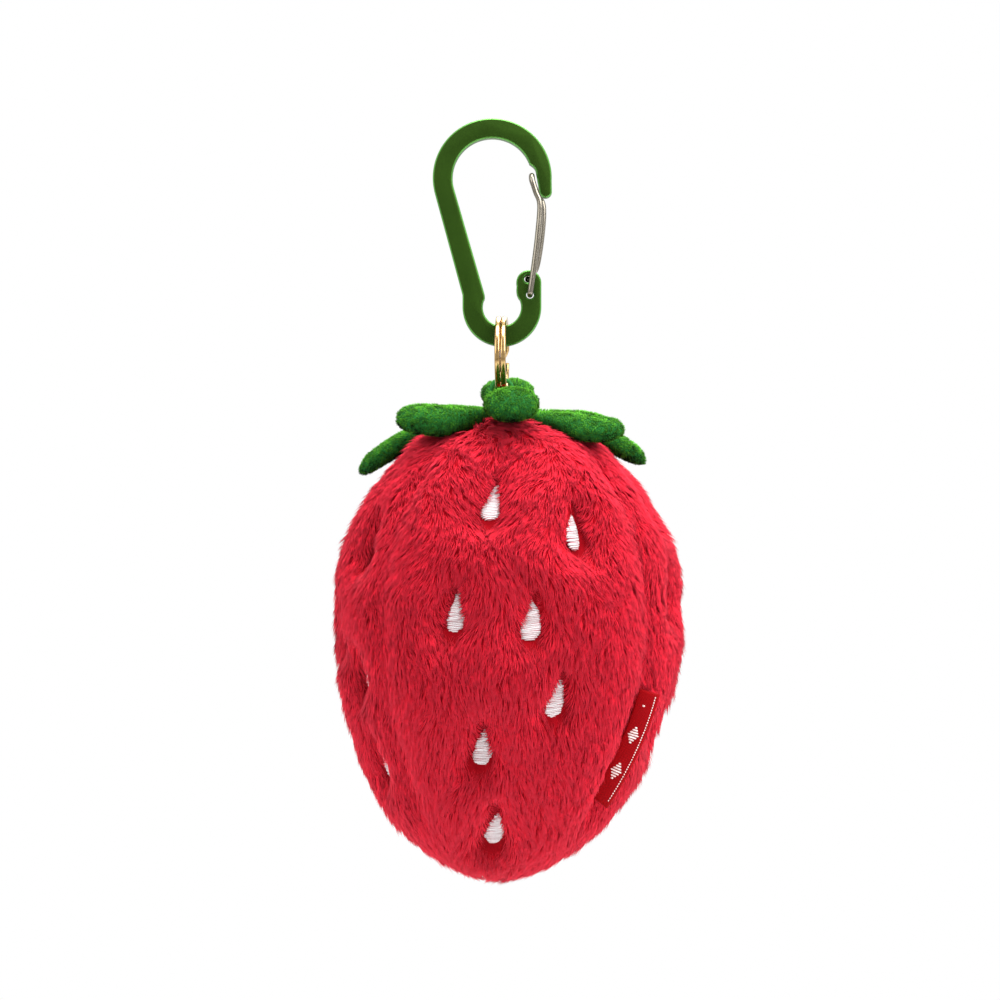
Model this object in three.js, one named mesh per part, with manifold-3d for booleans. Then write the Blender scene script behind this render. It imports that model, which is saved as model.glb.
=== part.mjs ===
// Strawberry plush on a small wire-gate carabiner.
// Millimetres. +Z is up, -Y is the front, +X is the viewer's right.
// The origin is the inside top of the carabiner's bow, where it hangs on a hook or strap.

import * as THREE from "three";
import { mergeVertices } from "three/addons/utils/BufferGeometryUtils.js";
import Module from "manifold-3d";

const wasm = await Module();
wasm.setup();

// Carabiner plate
const plateThickness = 4;
const plateChamfer = 0.6;
const bowInnerRadius = 8.2;
const bowOuterRadius = 12.3;
const bowCentreX = -2;
const bowCentreZ = -Math.sqrt(bowInnerRadius ** 2 - bowCentreX ** 2);
const spineTilt = THREE.MathUtils.degToRad(15);
const eyeInnerRadius = 3.95;
const eyeOuterRadius = 8.15;
const eyeCentreZ = -34.6;
const bossRadius = 2.6;
const bossCentreZ = -29.6;
const nose = { x: 9.05, z: -10.75, radius: 1.3 };
const spineFootZ = -32.4;
const waist = { bend: [2.75, -32.2], end: [3.71, -33.25] };
const spineInside = { bend: [-3.3, -32.9], end: [-3.7, -31.6] };
const gateNotch = { bend: [7, -5.9], start: [7.05, -6.9], end: [7.25, -8] };
const outlineSteps = 16;
const outlineSmallestStep = 0.42;

// Wire gate
const wireRadius = 0.6;
const wireSides = 8;
const wireGap = 0.35;
const pinHoleRadius = 0.8;
const lowerHole = { x: 5.8, z: -32.1 };
const upperHole = { x: 5.4, z: -28.8 };
const pinDepthY = -0.6;
const pinBend = { along: 0.35, side: 0.1, rise: 0.6 };
const gateLeg = [
  [6.6, -26.4],
  [7.4, -19.9],
  [7.85, -13.7],
  [7, -11],
  [6.3, -8.6],
];
const gateTop = { x: 6.15, z: -7.55, shoulder: 0.72 };
const gateSteps = 72;

// Split ring
const ringOuterRadius = 8;
const ringInnerRadius = 6.6;
const ringCoilWidth = 1.1;
const ringCoilPitch = 1.24;
const ringCentreZ = -44.45;
const ringTurn = THREE.MathUtils.degToRad(-3);
const ringEndGap = 0.06;
const ringCorner = 0.3;
const ringSteps = 76;

// Plush body
const bodyCentreX = 1.4;
const bodyLean = 2.3;
const leanStartBelowWidest = 7;
const leanReach = 45;
const bodyTopZ = -59.5;
const bodyBottomZ = -151.5;
const bodyWidestZ = -100;
const bodyHalfWidth = 34.8;
const bodyHalfDepth = 32.6;
const upperFullness = 2.1;
const lowerFullness = 1.8;
const upperRoundness = 0.5;
const lowerRoundness = 0.55;
const panelThickness = 3.5;
const fitGap = 0.3;
const bodyTurn = 3.5;
const frontPanelAngle = 98;
const poleMargin = 0.07;
const panelSteps = [7, 14];

// Leaves and the loop that hangs the body
const leafWidth = 10.8;
const leafRootWidth = 3.4;
const leafTipWidth = 2.6;
const leafSwellEnd = 0.94;
const leafSwellPower = 1.15;
const plyRimThinning = 0.62;
const leafSteps = [4, 9];
const plyThickness = 1.5;
const leafRootRadius = 5.4;
const leafRootZ = -57.4;
const discRadius = 4.8;
const discThickness = 1.3;
const loopInnerRadius = 1.8;
const loopThickness = 0.8;
const loopWidth = 3.6;
const loopBottomZ = -57.5;
const ringWireZ = ringCentreZ - (ringInnerRadius + ringOuterRadius) / 2;

// Seeds and the side label
const seedLength = 9;
const seedWidth = 4.4;
const seedThickness = 0.8;
const seedTip = { left: 0.2, right: 0.5 };
const seedLift = 0.4;
const labelWidth = 4.2;
const labelThickness = 0.8;
const labelTopZ = -112.2;
const labelBottomZ = -133.8;
const labelDroop = { bottom: -0.45, top: -0.15 };
const labelSteps = [2, 10];

const finishes = {
  anodisedGreen: { color: 0x355013, roughness: 0.42, metalness: 0.85 },
  steelWire: { color: 0xc9c6bd, roughness: 0.25, metalness: 1 },
  goldPlate: { color: 0xd2a14f, roughness: 0.22, metalness: 1 },
  redFur: { color: 0xcd2437, roughness: 0.95, metalness: 0 },
  greenPlush: { color: 0x2b7d35, roughness: 0.95, metalness: 0 },
  whiteThread: { color: 0xe6cfd1, roughness: 0.6, metalness: 0 },
  redRibbon: { color: 0xb01824, roughness: 0.6, metalness: 0 },
  stuffing: { color: 0xf2f0ea, roughness: 1, metalness: 0 },
};

const product = new THREE.Group();

function addPart(name, geometry, finish, parent = product) {
  const mesh = new THREE.Mesh(geometry, new THREE.MeshStandardMaterial(finishes[finish]));
  mesh.name = name;
  parent.add(mesh);
  return mesh;
}

function radians(degrees) {
  return THREE.MathUtils.degToRad(degrees);
}

// Azimuth 0 points to the front and grows towards the viewer's right.
function outward(azimuth) {
  return new THREE.Vector3(Math.sin(azimuth), -Math.cos(azimuth), 0);
}

function toManifold(geometry) {
  const bare = geometry.index ? geometry.toNonIndexed() : geometry.clone();
  bare.deleteAttribute("normal");
  bare.deleteAttribute("uv");
  const merged = mergeVertices(bare, 1e-4);
  return new wasm.Manifold(new wasm.Mesh({
    numProp: 3,
    vertProperties: new Float32Array(merged.attributes.position.array),
    triVerts: new Uint32Array(merged.index.array),
  }));
}

function fromManifold(solid) {
  const mesh = solid.getMesh();
  const geometry = new THREE.BufferGeometry();
  geometry.setAttribute("position", new THREE.BufferAttribute(new Float32Array(mesh.vertProperties), 3));
  geometry.setIndex(new THREE.BufferAttribute(new Uint32Array(mesh.triVerts), 1));
  return geometry;
}

// A closed slab between an outer and an inner surface, both given by pointAt(u, v, isOuter).
// The outer side faces along the cross product of the u and v directions.
function slab(pointAt, stepsU, stepsV) {
  const positions = [];
  const indices = [];
  const sheetSize = (stepsU + 1) * (stepsV + 1);
  for (const isOuter of [true, false]) {
    for (let row = 0; row <= stepsV; row += 1) {
      for (let column = 0; column <= stepsU; column += 1) {
        const point = pointAt(column / stepsU, row / stepsV, isOuter);
        positions.push(point.x, point.y, point.z);
      }
    }
  }
  const outer = (column, row) => row * (stepsU + 1) + column;
  const inner = (column, row) => sheetSize + outer(column, row);
  const quad = (a, b, c, d) => indices.push(a, b, c, a, c, d);
  for (let row = 0; row < stepsV; row += 1) {
    for (let column = 0; column < stepsU; column += 1) {
      const [right, above] = [column + 1, row + 1];
      quad(outer(column, row), outer(right, row), outer(right, above), outer(column, above));
      quad(inner(column, row), inner(column, above), inner(right, above), inner(right, row));
    }
  }
  for (let row = 0; row < stepsV; row += 1) {
    quad(inner(0, row), outer(0, row), outer(0, row + 1), inner(0, row + 1));
    quad(outer(stepsU, row), inner(stepsU, row), inner(stepsU, row + 1), outer(stepsU, row + 1));
  }
  for (let column = 0; column < stepsU; column += 1) {
    quad(inner(column, 0), inner(column + 1, 0), outer(column + 1, 0), outer(column, 0));
    quad(outer(column, stepsV), outer(column + 1, stepsV), inner(column + 1, stepsV), inner(column, stepsV));
  }
  const geometry = new THREE.BufferGeometry();
  geometry.setAttribute("position", new THREE.Float32BufferAttribute(positions, 3));
  geometry.setIndex(indices);
  return geometry;
}

// Carabiner: one flat plate with chamfered rims, cut by two pin holes for the wire gate.
function carabinerOutline() {
  const shape = new THREE.Shape();
  const tangent = Math.PI + spineTilt;
  const bossRight = eyeOuterRadius - bossRadius;
  // Outer edge: from the nose over the bow, down the spine and round the lower eye.
  shape.absarc(bowCentreX, bowCentreZ, bowOuterRadius, radians(-3), tangent, false);
  shape.lineTo(-eyeOuterRadius, spineFootZ);
  shape.lineTo(-eyeOuterRadius, eyeCentreZ);
  shape.absarc(0, eyeCentreZ, eyeOuterRadius, Math.PI, 2 * Math.PI, false);
  shape.lineTo(eyeOuterRadius, bossCentreZ);
  // Boss that carries the gate, then the waist and the inside of the lower eye.
  shape.absarc(bossRight, bossCentreZ, bossRadius, 0, radians(195), false);
  shape.quadraticCurveTo(...waist.bend, ...waist.end);
  shape.absarc(0, eyeCentreZ, eyeInnerRadius, radians(20), radians(-197), true);
  shape.quadraticCurveTo(...spineInside.bend, ...spineInside.end);
  // Inside of the spine and the bow, then the notch under the nose.
  shape.lineTo(
    bowCentreX + bowInnerRadius * Math.cos(tangent),
    bowCentreZ + bowInnerRadius * Math.sin(tangent),
  );
  shape.absarc(bowCentreX, bowCentreZ, bowInnerRadius, tangent, radians(20), true);
  shape.quadraticCurveTo(...gateNotch.bend, ...gateNotch.start);
  shape.lineTo(...gateNotch.end);
  shape.absarc(nose.x, nose.z, nose.radius, radians(195), radians(350), false);
  return asCorners(shape, outlineSmallestStep);
}

// The same outline as plain corners, at least a set step apart.
function asCorners(shape, smallestStep) {
  const corners = [];
  for (const point of shape.getPoints(outlineSteps)) {
    if (corners.every((corner) => corner.distanceTo(point) > smallestStep)) {
      corners.push(point);
    }
  }
  return new THREE.Shape(corners);
}

function carabinerGeometry() {
  const plate = new THREE.ExtrudeGeometry(carabinerOutline(), {
    depth: plateThickness - 2 * plateChamfer,
    bevelEnabled: true,
    bevelThickness: plateChamfer,
    bevelSize: plateChamfer,
    bevelOffset: -plateChamfer,
    bevelSegments: 1,
    curveSegments: 20,
  });
  plate.translate(0, 0, plateChamfer - plateThickness / 2);
  plate.rotateX(Math.PI / 2);
  let solid = toManifold(plate);
  for (const hole of [lowerHole, upperHole]) {
    const drill = new THREE.CylinderGeometry(pinHoleRadius, pinHoleRadius, plateThickness * 2, 14);
    drill.translate(hole.x, 0, hole.z);
    solid = solid.subtract(toManifold(drill));
  }
  return fromManifold(solid);
}

// Wire gate: one wire bent to a U. The front leg's pin turns in the lower hole. The back leg
// ends just clear of the plate, where its pin would enter the upper hole.
function gateGeometry() {
  const legY = plateThickness / 2 + wireGap + wireRadius;
  const shoulderY = legY * gateTop.shoulder;
  const legAt = (y) => gateLeg.map(([x, z]) => new THREE.Vector3(x, y, z));
  const points = [
    new THREE.Vector3(lowerHole.x, pinDepthY, lowerHole.z),
    new THREE.Vector3(lowerHole.x, -legY + pinBend.along, lowerHole.z),
    new THREE.Vector3(lowerHole.x + pinBend.side, -legY, lowerHole.z + pinBend.rise),
    ...legAt(-legY),
    new THREE.Vector3(gateTop.x, -shoulderY, gateTop.z),
    new THREE.Vector3(gateTop.x, 0, gateTop.z),
    new THREE.Vector3(gateTop.x, shoulderY, gateTop.z),
    ...legAt(legY).reverse(),
    new THREE.Vector3(upperHole.x + pinBend.side, legY, upperHole.z),
  ];
  const path = new THREE.CatmullRomCurve3(points, false, "centripetal");
  return tube(path, circleSection(wireRadius, wireSides), gateSteps);
}

function circleSection(radius, sides) {
  const corners = [];
  for (let side = 0; side < sides; side += 1) {
    const angle = (2 * Math.PI * side) / sides;
    corners.push(new THREE.Vector2(radius * Math.cos(angle), radius * Math.sin(angle)));
  }
  return new THREE.Shape(corners);
}

function tube(path, section, steps) {
  return new THREE.ExtrudeGeometry(section, { steps, extrudePath: path, curveSegments: 1 });
}

// Split ring: nearly two turns of flat wire. The wire steps across from one coil to the other
// where its two ends stop.
class SplitRingPath extends THREE.Curve {
  getPoint(t, target = new THREE.Vector3()) {
    const turns = THREE.MathUtils.lerp(ringEndGap, 2 - ringEndGap, t);
    const across = THREE.MathUtils.smoothstep(turns, 1 - ringEndGap, 1 + ringEndGap) - 0.5;
    const angle = 2 * Math.PI * turns;
    const radius = (ringInnerRadius + ringOuterRadius) / 2;
    return target.set(across * ringCoilPitch, radius * Math.cos(angle), radius * Math.sin(angle));
  }
}

function ringGeometry() {
  const halfWidth = ringCoilWidth / 2;
  const halfHeight = (ringOuterRadius - ringInnerRadius) / 2;
  const section = new THREE.Shape([
    new THREE.Vector2(halfHeight - ringCorner, -halfWidth),
    new THREE.Vector2(halfHeight, ringCorner - halfWidth),
    new THREE.Vector2(halfHeight, halfWidth - ringCorner),
    new THREE.Vector2(halfHeight - ringCorner, halfWidth),
    new THREE.Vector2(-halfHeight, halfWidth),
    new THREE.Vector2(-halfHeight, -halfWidth),
  ]);
  return tube(new SplitRingPath(), section, ringSteps);
}

// Plush body: a stuffed form of revolution, a little flattened front to back and leaning at
// the bottom. radiusAt gives the share of the full width left at each height.
function radiusAt(z, inset) {
  const reach = z > bodyWidestZ ? bodyTopZ - bodyWidestZ : bodyWidestZ - bodyBottomZ;
  const fullness = z > bodyWidestZ ? upperFullness : lowerFullness;
  const roundness = z > bodyWidestZ ? upperRoundness : lowerRoundness;
  const share = Math.min(Math.abs(z - bodyWidestZ) / (reach - inset), 1);
  return Math.max(1 - share ** fullness, 0) ** roundness;
}

function bodyCentre(z) {
  const leanStartZ = bodyWidestZ - leanStartBelowWidest;
  const drop = THREE.MathUtils.smoothstep((leanStartZ - z) / leanReach, 0, 1);
  return bodyCentreX - bodyLean * drop;
}

function bodyPoint(azimuth, z, inset) {
  const share = radiusAt(z, inset);
  return new THREE.Vector3(
    bodyCentre(z) + (bodyHalfWidth - inset) * share * Math.sin(azimuth),
    -(bodyHalfDepth - inset) * share * Math.cos(azimuth),
    z,
  );
}

// Rows run from pole to pole by angle, so they crowd where the form closes.
function rowHeight(v, inset, margin) {
  const angle = THREE.MathUtils.lerp(Math.PI - margin, margin, v);
  const reach = angle > Math.PI / 2 ? bodyWidestZ - bodyBottomZ : bodyTopZ - bodyWidestZ;
  return bodyWidestZ + (reach - inset) * Math.cos(angle);
}

function panelGeometry(startDegrees, endDegrees) {
  return slab((u, v, isOuter) => {
    const inset = isOuter ? 0 : panelThickness;
    const z = rowHeight(v, inset, poleMargin);
    const radius = (bodyHalfDepth - inset) * radiusAt(z, inset);
    const seam = Math.asin(Math.min(fitGap / 2 / radius, 0.6));
    const azimuth = THREE.MathUtils.lerp(radians(startDegrees) + seam, radians(endDegrees) - seam, u);
    return bodyPoint(azimuth, z, inset);
  }, ...panelSteps);
}

function stuffingGeometry() {
  const inset = panelThickness + fitGap;
  const rows = 14;
  const profile = [];
  for (let row = 0; row <= rows; row += 1) {
    const z = rowHeight(row / rows, inset, 0);
    profile.push(new THREE.Vector2(radiusAt(z, inset), z));
  }
  profile[0].x = 0;
  profile[rows].x = 0;
  const geometry = new THREE.LatheGeometry(profile, 24);
  geometry.rotateX(Math.PI / 2);
  const position = geometry.attributes.position;
  for (let index = 0; index < position.count; index += 1) {
    const z = position.getZ(index);
    position.setXYZ(
      index,
      bodyCentre(z) + (bodyHalfWidth - inset) * position.getX(index),
      (bodyHalfDepth - inset) * position.getY(index),
      z,
    );
  }
  return geometry;
}

// Seeds: flat embroidered drops laid on the panels. Places are the arc length across the panel
// from its centre line and the height.
const frontSeeds = [
  [-5.2, -75],
  [12.7, -80.5],
  [-13.6, -96.6],
  [2.7, -97.8],
  [8.9, -113.5],
  [-7.2, -123.5],
  [-2.7, -140.6],
];
const sideSeeds = [
  [-6, -74.5],
  [12.8, -83],
  [-11, -93],
  [3, -100.5],
  [12.3, -108.8],
  [-8, -117.5],
  [9.8, -126.5],
];

function seedOutline() {
  const shape = new THREE.Shape();
  const halfWidth = seedWidth / 2;
  const bulbZ = -seedLength / 2 + halfWidth;
  shape.moveTo(seedTip.right, seedLength / 2);
  shape.quadraticCurveTo(halfWidth * 0.75, 0.8, halfWidth, bulbZ);
  shape.absarc(0, bulbZ, halfWidth, 0, -Math.PI, true);
  shape.quadraticCurveTo(-halfWidth * 0.8, 1.2, seedTip.left, seedLength / 2);
  return shape;
}

function addSeed(name, azimuth, z) {
  const geometry = new THREE.ExtrudeGeometry(seedOutline(), {
    depth: seedThickness,
    bevelEnabled: false,
    curveSegments: 4,
  });
  const slope = 0.5;
  const place = bodyPoint(azimuth, z, 0);
  const up = bodyPoint(azimuth, z + slope, 0).sub(bodyPoint(azimuth, z - slope, 0)).normalize();
  const across = bodyPoint(azimuth + 0.02, z, 0).sub(bodyPoint(azimuth - 0.02, z, 0)).normalize();
  const normal = new THREE.Vector3().crossVectors(across, up);
  const frame = new THREE.Matrix4().makeBasis(across, up, normal);
  frame.setPosition(place.addScaledVector(normal, seedLift));
  geometry.applyMatrix4(frame);
  addPart(name, geometry, "whiteThread", plush);
}

// Leaves: two plies of plush each, sewn at the rim and standing out from the top of the body.
// Each runs along an arc in its own upright plane: root, crown and tip as [radius, height].
const leaves = {
  leaf_front: { azimuth: 2, crown: [12.5, -49.8], tip: [22.5, -56.3], tipWidth: 7 },
  leaf_right_front: { azimuth: 60, crown: [15, -57.2], tip: [27, -59.2] },
  leaf_right_back: { azimuth: 108, crown: [19, -58.4], tip: [30.5, -66.8] },
  leaf_back: { azimuth: 181, crown: [10.5, -47.8], tip: [21, -51.5] },
  leaf_left_back: { azimuth: -106, crown: [20, -58.2], tip: [32.4, -69.4] },
  leaf_left_front: { azimuth: -57, crown: [15, -56.4], tip: [27, -57] },
};

function leafHalfWidth(v, tipWidth) {
  const swell = Math.sin(Math.PI * leafSwellEnd * v ** leafSwellPower);
  const end = THREE.MathUtils.lerp(leafRootWidth, tipWidth, v) / 2;
  return end + (leafWidth / 2 - end) * swell;
}

function leafPly(leaf, isUpper) {
  const away = outward(radians(leaf.azimuth));
  const across = outward(radians(leaf.azimuth - 90));
  const tipWidth = leaf.tipWidth ?? leafTipWidth;
  const spine = new THREE.QuadraticBezierCurve(
    new THREE.Vector2(leafRootRadius, leafRootZ),
    new THREE.Vector2(...leaf.crown),
    new THREE.Vector2(...leaf.tip),
  );
  return slab((u, v, isOuter) => {
    const side = u * 2 - 1;
    const centre = spine.getPoint(v);
    const run = spine.getTangent(v);
    const crownHeight = plyThickness * (1 - plyRimThinning * side * side);
    const depth = fitGap / 2 + (isOuter === isUpper ? crownHeight : 0);
    const lift = isUpper ? depth : -depth;
    return new THREE.Vector3(bodyCentreX, 0, 0)
      .addScaledVector(away, centre.x - run.y * lift)
      .addScaledVector(across, side * leafHalfWidth(v, tipWidth))
      .add(new THREE.Vector3(0, 0, centre.y + run.x * lift));
  }, ...leafSteps);
}

function loopGeometry() {
  const outerRadius = loopInnerRadius + loopThickness;
  const bottom = loopBottomZ + outerRadius;
  const raceTrack = (target, radius) => {
    target.absarc(0, ringWireZ, radius, 0, Math.PI, false);
    target.absarc(0, bottom, radius, Math.PI, 2 * Math.PI, false);
    return target;
  };
  const shape = raceTrack(new THREE.Shape(), outerRadius);
  shape.holes.push(raceTrack(new THREE.Path(), loopInnerRadius));
  const geometry = new THREE.ExtrudeGeometry(shape, {
    depth: loopWidth,
    bevelEnabled: false,
    curveSegments: 8,
  });
  geometry.translate(0, 0, -loopWidth / 2);
  return geometry.rotateX(Math.PI / 2);
}

function discGeometry() {
  const geometry = new THREE.CylinderGeometry(discRadius, discRadius, discThickness, 20);
  geometry.rotateX(Math.PI / 2);
  const top = bodyTopZ + fitGap + discThickness;
  return geometry.translate(bodyCentreX, 0, top - discThickness / 2);
}

// Side label: a folded ribbon standing out of the seam between the front and right panels.
function labelGeometry() {
  const azimuth = radians(bodyTurn + frontPanelAngle / 2);
  const sideways = outward(azimuth + Math.PI / 2);
  return slab((u, v, isOuter) => {
    const z = THREE.MathUtils.lerp(labelBottomZ, labelTopZ, v);
    const foot = bodyPoint(azimuth, z, 0);
    const away = outward(azimuth);
    away.z = THREE.MathUtils.lerp(labelDroop.bottom, labelDroop.top, v);
    away.normalize();
    return foot
      .addScaledVector(away, fitGap + u * labelWidth)
      .addScaledVector(sideways, isOuter ? -labelThickness / 2 : labelThickness / 2);
  }, ...labelSteps);
}

addPart("carabiner_body", carabinerGeometry(), "anodisedGreen");
addPart("wire_gate", gateGeometry(), "steelWire");

const ring = addPart("split_ring", ringGeometry(), "goldPlate");
ring.position.set(0, 0, ringCentreZ);
ring.rotation.z = ringTurn;

const plush = new THREE.Group();
product.add(plush);
addPart("hanging_loop", loopGeometry(), "greenPlush", plush);
addPart("calyx_disc", discGeometry(), "greenPlush", plush);
for (const [name, leaf] of Object.entries(leaves)) {
  addPart(`${name}_upper_ply`, leafPly(leaf, true), "greenPlush", plush);
  addPart(`${name}_lower_ply`, leafPly(leaf, false), "greenPlush", plush);
}

const seamRight = bodyTurn + frontPanelAngle / 2;
const seamLeft = bodyTurn - frontPanelAngle / 2;
const panels = [
  { side: "front", from: seamLeft, to: seamRight, seeds: frontSeeds },
  { side: "right", from: seamRight, to: seamLeft + 180, seeds: sideSeeds },
  { side: "back", from: seamLeft + 180, to: seamRight + 180, seeds: frontSeeds },
  { side: "left", from: seamRight - 180, to: seamLeft, seeds: sideSeeds },
];
for (const panel of panels) {
  addPart(`${panel.side}_panel`, panelGeometry(panel.from, panel.to), "redFur", plush);
  const centre = radians((panel.from + panel.to) / 2);
  panel.seeds.forEach(([arc, z], index) => {
    const radius = bodyHalfWidth * radiusAt(z, 0);
    addSeed(`${panel.side}_seed_${index + 1}`, centre + arc / radius, z);
  });
}
addPart("stuffing", stuffingGeometry(), "stuffing", plush);
addPart("side_label", labelGeometry(), "redRibbon", plush);

export default product;
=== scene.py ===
import bpy
import bmesh
import math
import numpy as np
from mathutils import Matrix, Vector, noise


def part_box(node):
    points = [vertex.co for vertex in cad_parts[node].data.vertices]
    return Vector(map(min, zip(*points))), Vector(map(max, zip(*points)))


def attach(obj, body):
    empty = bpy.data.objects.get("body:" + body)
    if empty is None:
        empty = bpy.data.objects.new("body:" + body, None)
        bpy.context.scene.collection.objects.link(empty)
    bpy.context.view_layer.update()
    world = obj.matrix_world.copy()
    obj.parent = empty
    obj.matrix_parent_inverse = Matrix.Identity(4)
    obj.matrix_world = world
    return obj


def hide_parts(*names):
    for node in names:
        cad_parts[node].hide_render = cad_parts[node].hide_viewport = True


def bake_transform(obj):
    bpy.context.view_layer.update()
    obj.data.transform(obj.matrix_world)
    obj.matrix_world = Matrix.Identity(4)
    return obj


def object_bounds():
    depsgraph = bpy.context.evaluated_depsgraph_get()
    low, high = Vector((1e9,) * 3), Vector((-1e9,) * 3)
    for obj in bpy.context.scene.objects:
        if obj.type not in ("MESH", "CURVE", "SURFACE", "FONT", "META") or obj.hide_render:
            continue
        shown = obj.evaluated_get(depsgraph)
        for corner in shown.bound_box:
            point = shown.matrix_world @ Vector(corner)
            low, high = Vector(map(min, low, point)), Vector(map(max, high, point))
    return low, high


# Strawberry plush on a carabiner. The frame gives every place. Lengths are in metres; those of
# the metal parts and the leaf arcs are in millimetres, and are multiplied by mm where used.
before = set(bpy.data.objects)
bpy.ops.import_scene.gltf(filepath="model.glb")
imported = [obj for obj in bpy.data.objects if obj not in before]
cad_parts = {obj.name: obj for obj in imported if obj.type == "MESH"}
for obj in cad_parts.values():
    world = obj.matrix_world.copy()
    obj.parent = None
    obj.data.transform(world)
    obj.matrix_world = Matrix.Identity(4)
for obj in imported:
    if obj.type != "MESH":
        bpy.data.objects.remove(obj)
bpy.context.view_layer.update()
mm = 0.001
sides = ["front", "right", "back", "left"]


def unionBox(names):
    corners = [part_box(name) for name in names]
    low = Vector([min(pair[0][axis] for pair in corners) for axis in range(3)])
    high = Vector([max(pair[1][axis] for pair in corners) for axis in range(3)])
    return low, high


def smooth(value, start, end):
    share = np.clip((value - start) / (end - start), 0.0, 1.0)
    return share * share * (3 - 2 * share)


def linked(name, data):
    thing = bpy.data.objects.new(name, data)
    bpy.context.scene.collection.objects.link(thing)
    return thing


def meshObject(name, points, faces, material=None):
    mesh = bpy.data.meshes.new(name)
    mesh.from_pydata([tuple(point) for point in points], [], [tuple(face) for face in faces])
    mesh.validate()
    if material is not None:
        mesh.materials.append(material)
    mesh.shade_smooth()
    return linked(name, mesh)


# Quads between rows of points that close on themselves, with one flat face at each end.
def loftFaces(rows, size):
    faces = []
    for row in range(rows - 1):
        for step in range(size):
            here = row * size + step
            after = row * size + (step + 1) % size
            faces.append((here, after, after + size, here + size))
    faces.append(tuple(range(size)))
    faces.append(tuple((rows - 1) * size + step for step in range(size)))
    return faces


def roundSection(radius, corners):
    angles = [2 * math.pi * corner / corners for corner in range(corners)]
    return [(radius * math.cos(angle), radius * math.sin(angle)) for angle in angles]


def facingOut(thing):
    bm = bmesh.new()
    bm.from_mesh(thing.data)
    bmesh.ops.recalc_face_normals(bm, faces=bm.faces)
    bm.to_mesh(thing.data)
    bm.free()
    return thing


def fitted(piece, bodyName, slotName, *nodeNames):
    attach(piece, bodyName)
    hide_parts(*nodeNames)
    return piece


def pointsOf(mesh):
    flat = np.empty(len(mesh.vertices) * 3)
    mesh.vertices.foreach_get("co", flat)
    return flat.reshape(-1, 3)


def normalsOf(mesh):
    flat = np.empty(len(mesh.vertices) * 3)
    mesh.vertex_normals.foreach_get("vector", flat)
    return flat.reshape(-1, 3)


def storeField(mesh, name, values):
    kind = "FLOAT" if values.ndim == 1 else "FLOAT_VECTOR"
    layer = mesh.attributes.get(name) or mesh.attributes.new(name, kind, "POINT")
    layer.data.foreach_set("value" if kind == "FLOAT" else "vector", values.astype(np.float32).ravel())


def plainCopy(thing, name):
    bpy.context.view_layer.update()
    finished = bpy.data.meshes.new_from_object(thing.evaluated_get(bpy.context.evaluated_depsgraph_get()))
    finished.name = name
    return linked(name, finished)


def discard(thing):
    mesh = thing.data
    bpy.data.objects.remove(thing)
    bpy.data.meshes.remove(mesh)


class NodeTree:
    def __init__(self, tree):
        self.tree = tree

    def add(self, kind, inputs=None, **settings):
        node = self.tree.nodes.new(kind)
        for key, value in settings.items():
            setattr(node, key, value)
        for key, value in (inputs or {}).items():
            if isinstance(value, bpy.types.NodeSocket):
                self.tree.links.new(value, node.inputs[key])
            else:
                node.inputs[key].default_value = value
        return node

    def link(self, output, target):
        self.tree.links.new(output, target)

    def math(self, operation, first, second=0.0):
        return self.add("ShaderNodeMath", {0: first, 1: second}, operation=operation).outputs[0]

    def vector(self, operation, first, second=(0, 0, 0)):
        return self.add("ShaderNodeVectorMath", {0: first, 1: second}, operation=operation).outputs[0]

    def scaled(self, vector, scale):
        return self.add("ShaderNodeVectorMath", {0: vector, "Scale": scale}, operation="SCALE").outputs[0]


def enabled(sockets, name=None):
    return [socket for socket in sockets if socket.enabled and name in (None, socket.name)][0]


def newMaterial(name, **values):
    material = bpy.data.materials.new(name)
    material.use_nodes = True
    shader = material.node_tree.nodes["Principled BSDF"]
    for key, value in values.items():
        shader.inputs[key.replace("_", " ")].default_value = value
    return material, NodeTree(material.node_tree), shader


def paint(nodes, shader, **sources):
    for key, value in sources.items():
        nodes.link(value, shader.inputs[key.replace("_", " ")])


def shadeGroup(name, inputs, outputs):
    group = bpy.data.node_groups.new(name, "ShaderNodeTree")
    for label, (kind, value) in inputs.items():
        made = group.interface.new_socket(name=label, in_out="INPUT", socket_type="NodeSocket" + kind)
        made.default_value = value
    for label, kind in outputs.items():
        group.interface.new_socket(name=label, in_out="OUTPUT", socket_type="NodeSocket" + kind)
    nodes = NodeTree(group)
    return group, nodes, nodes.add("NodeGroupInput").outputs


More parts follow.
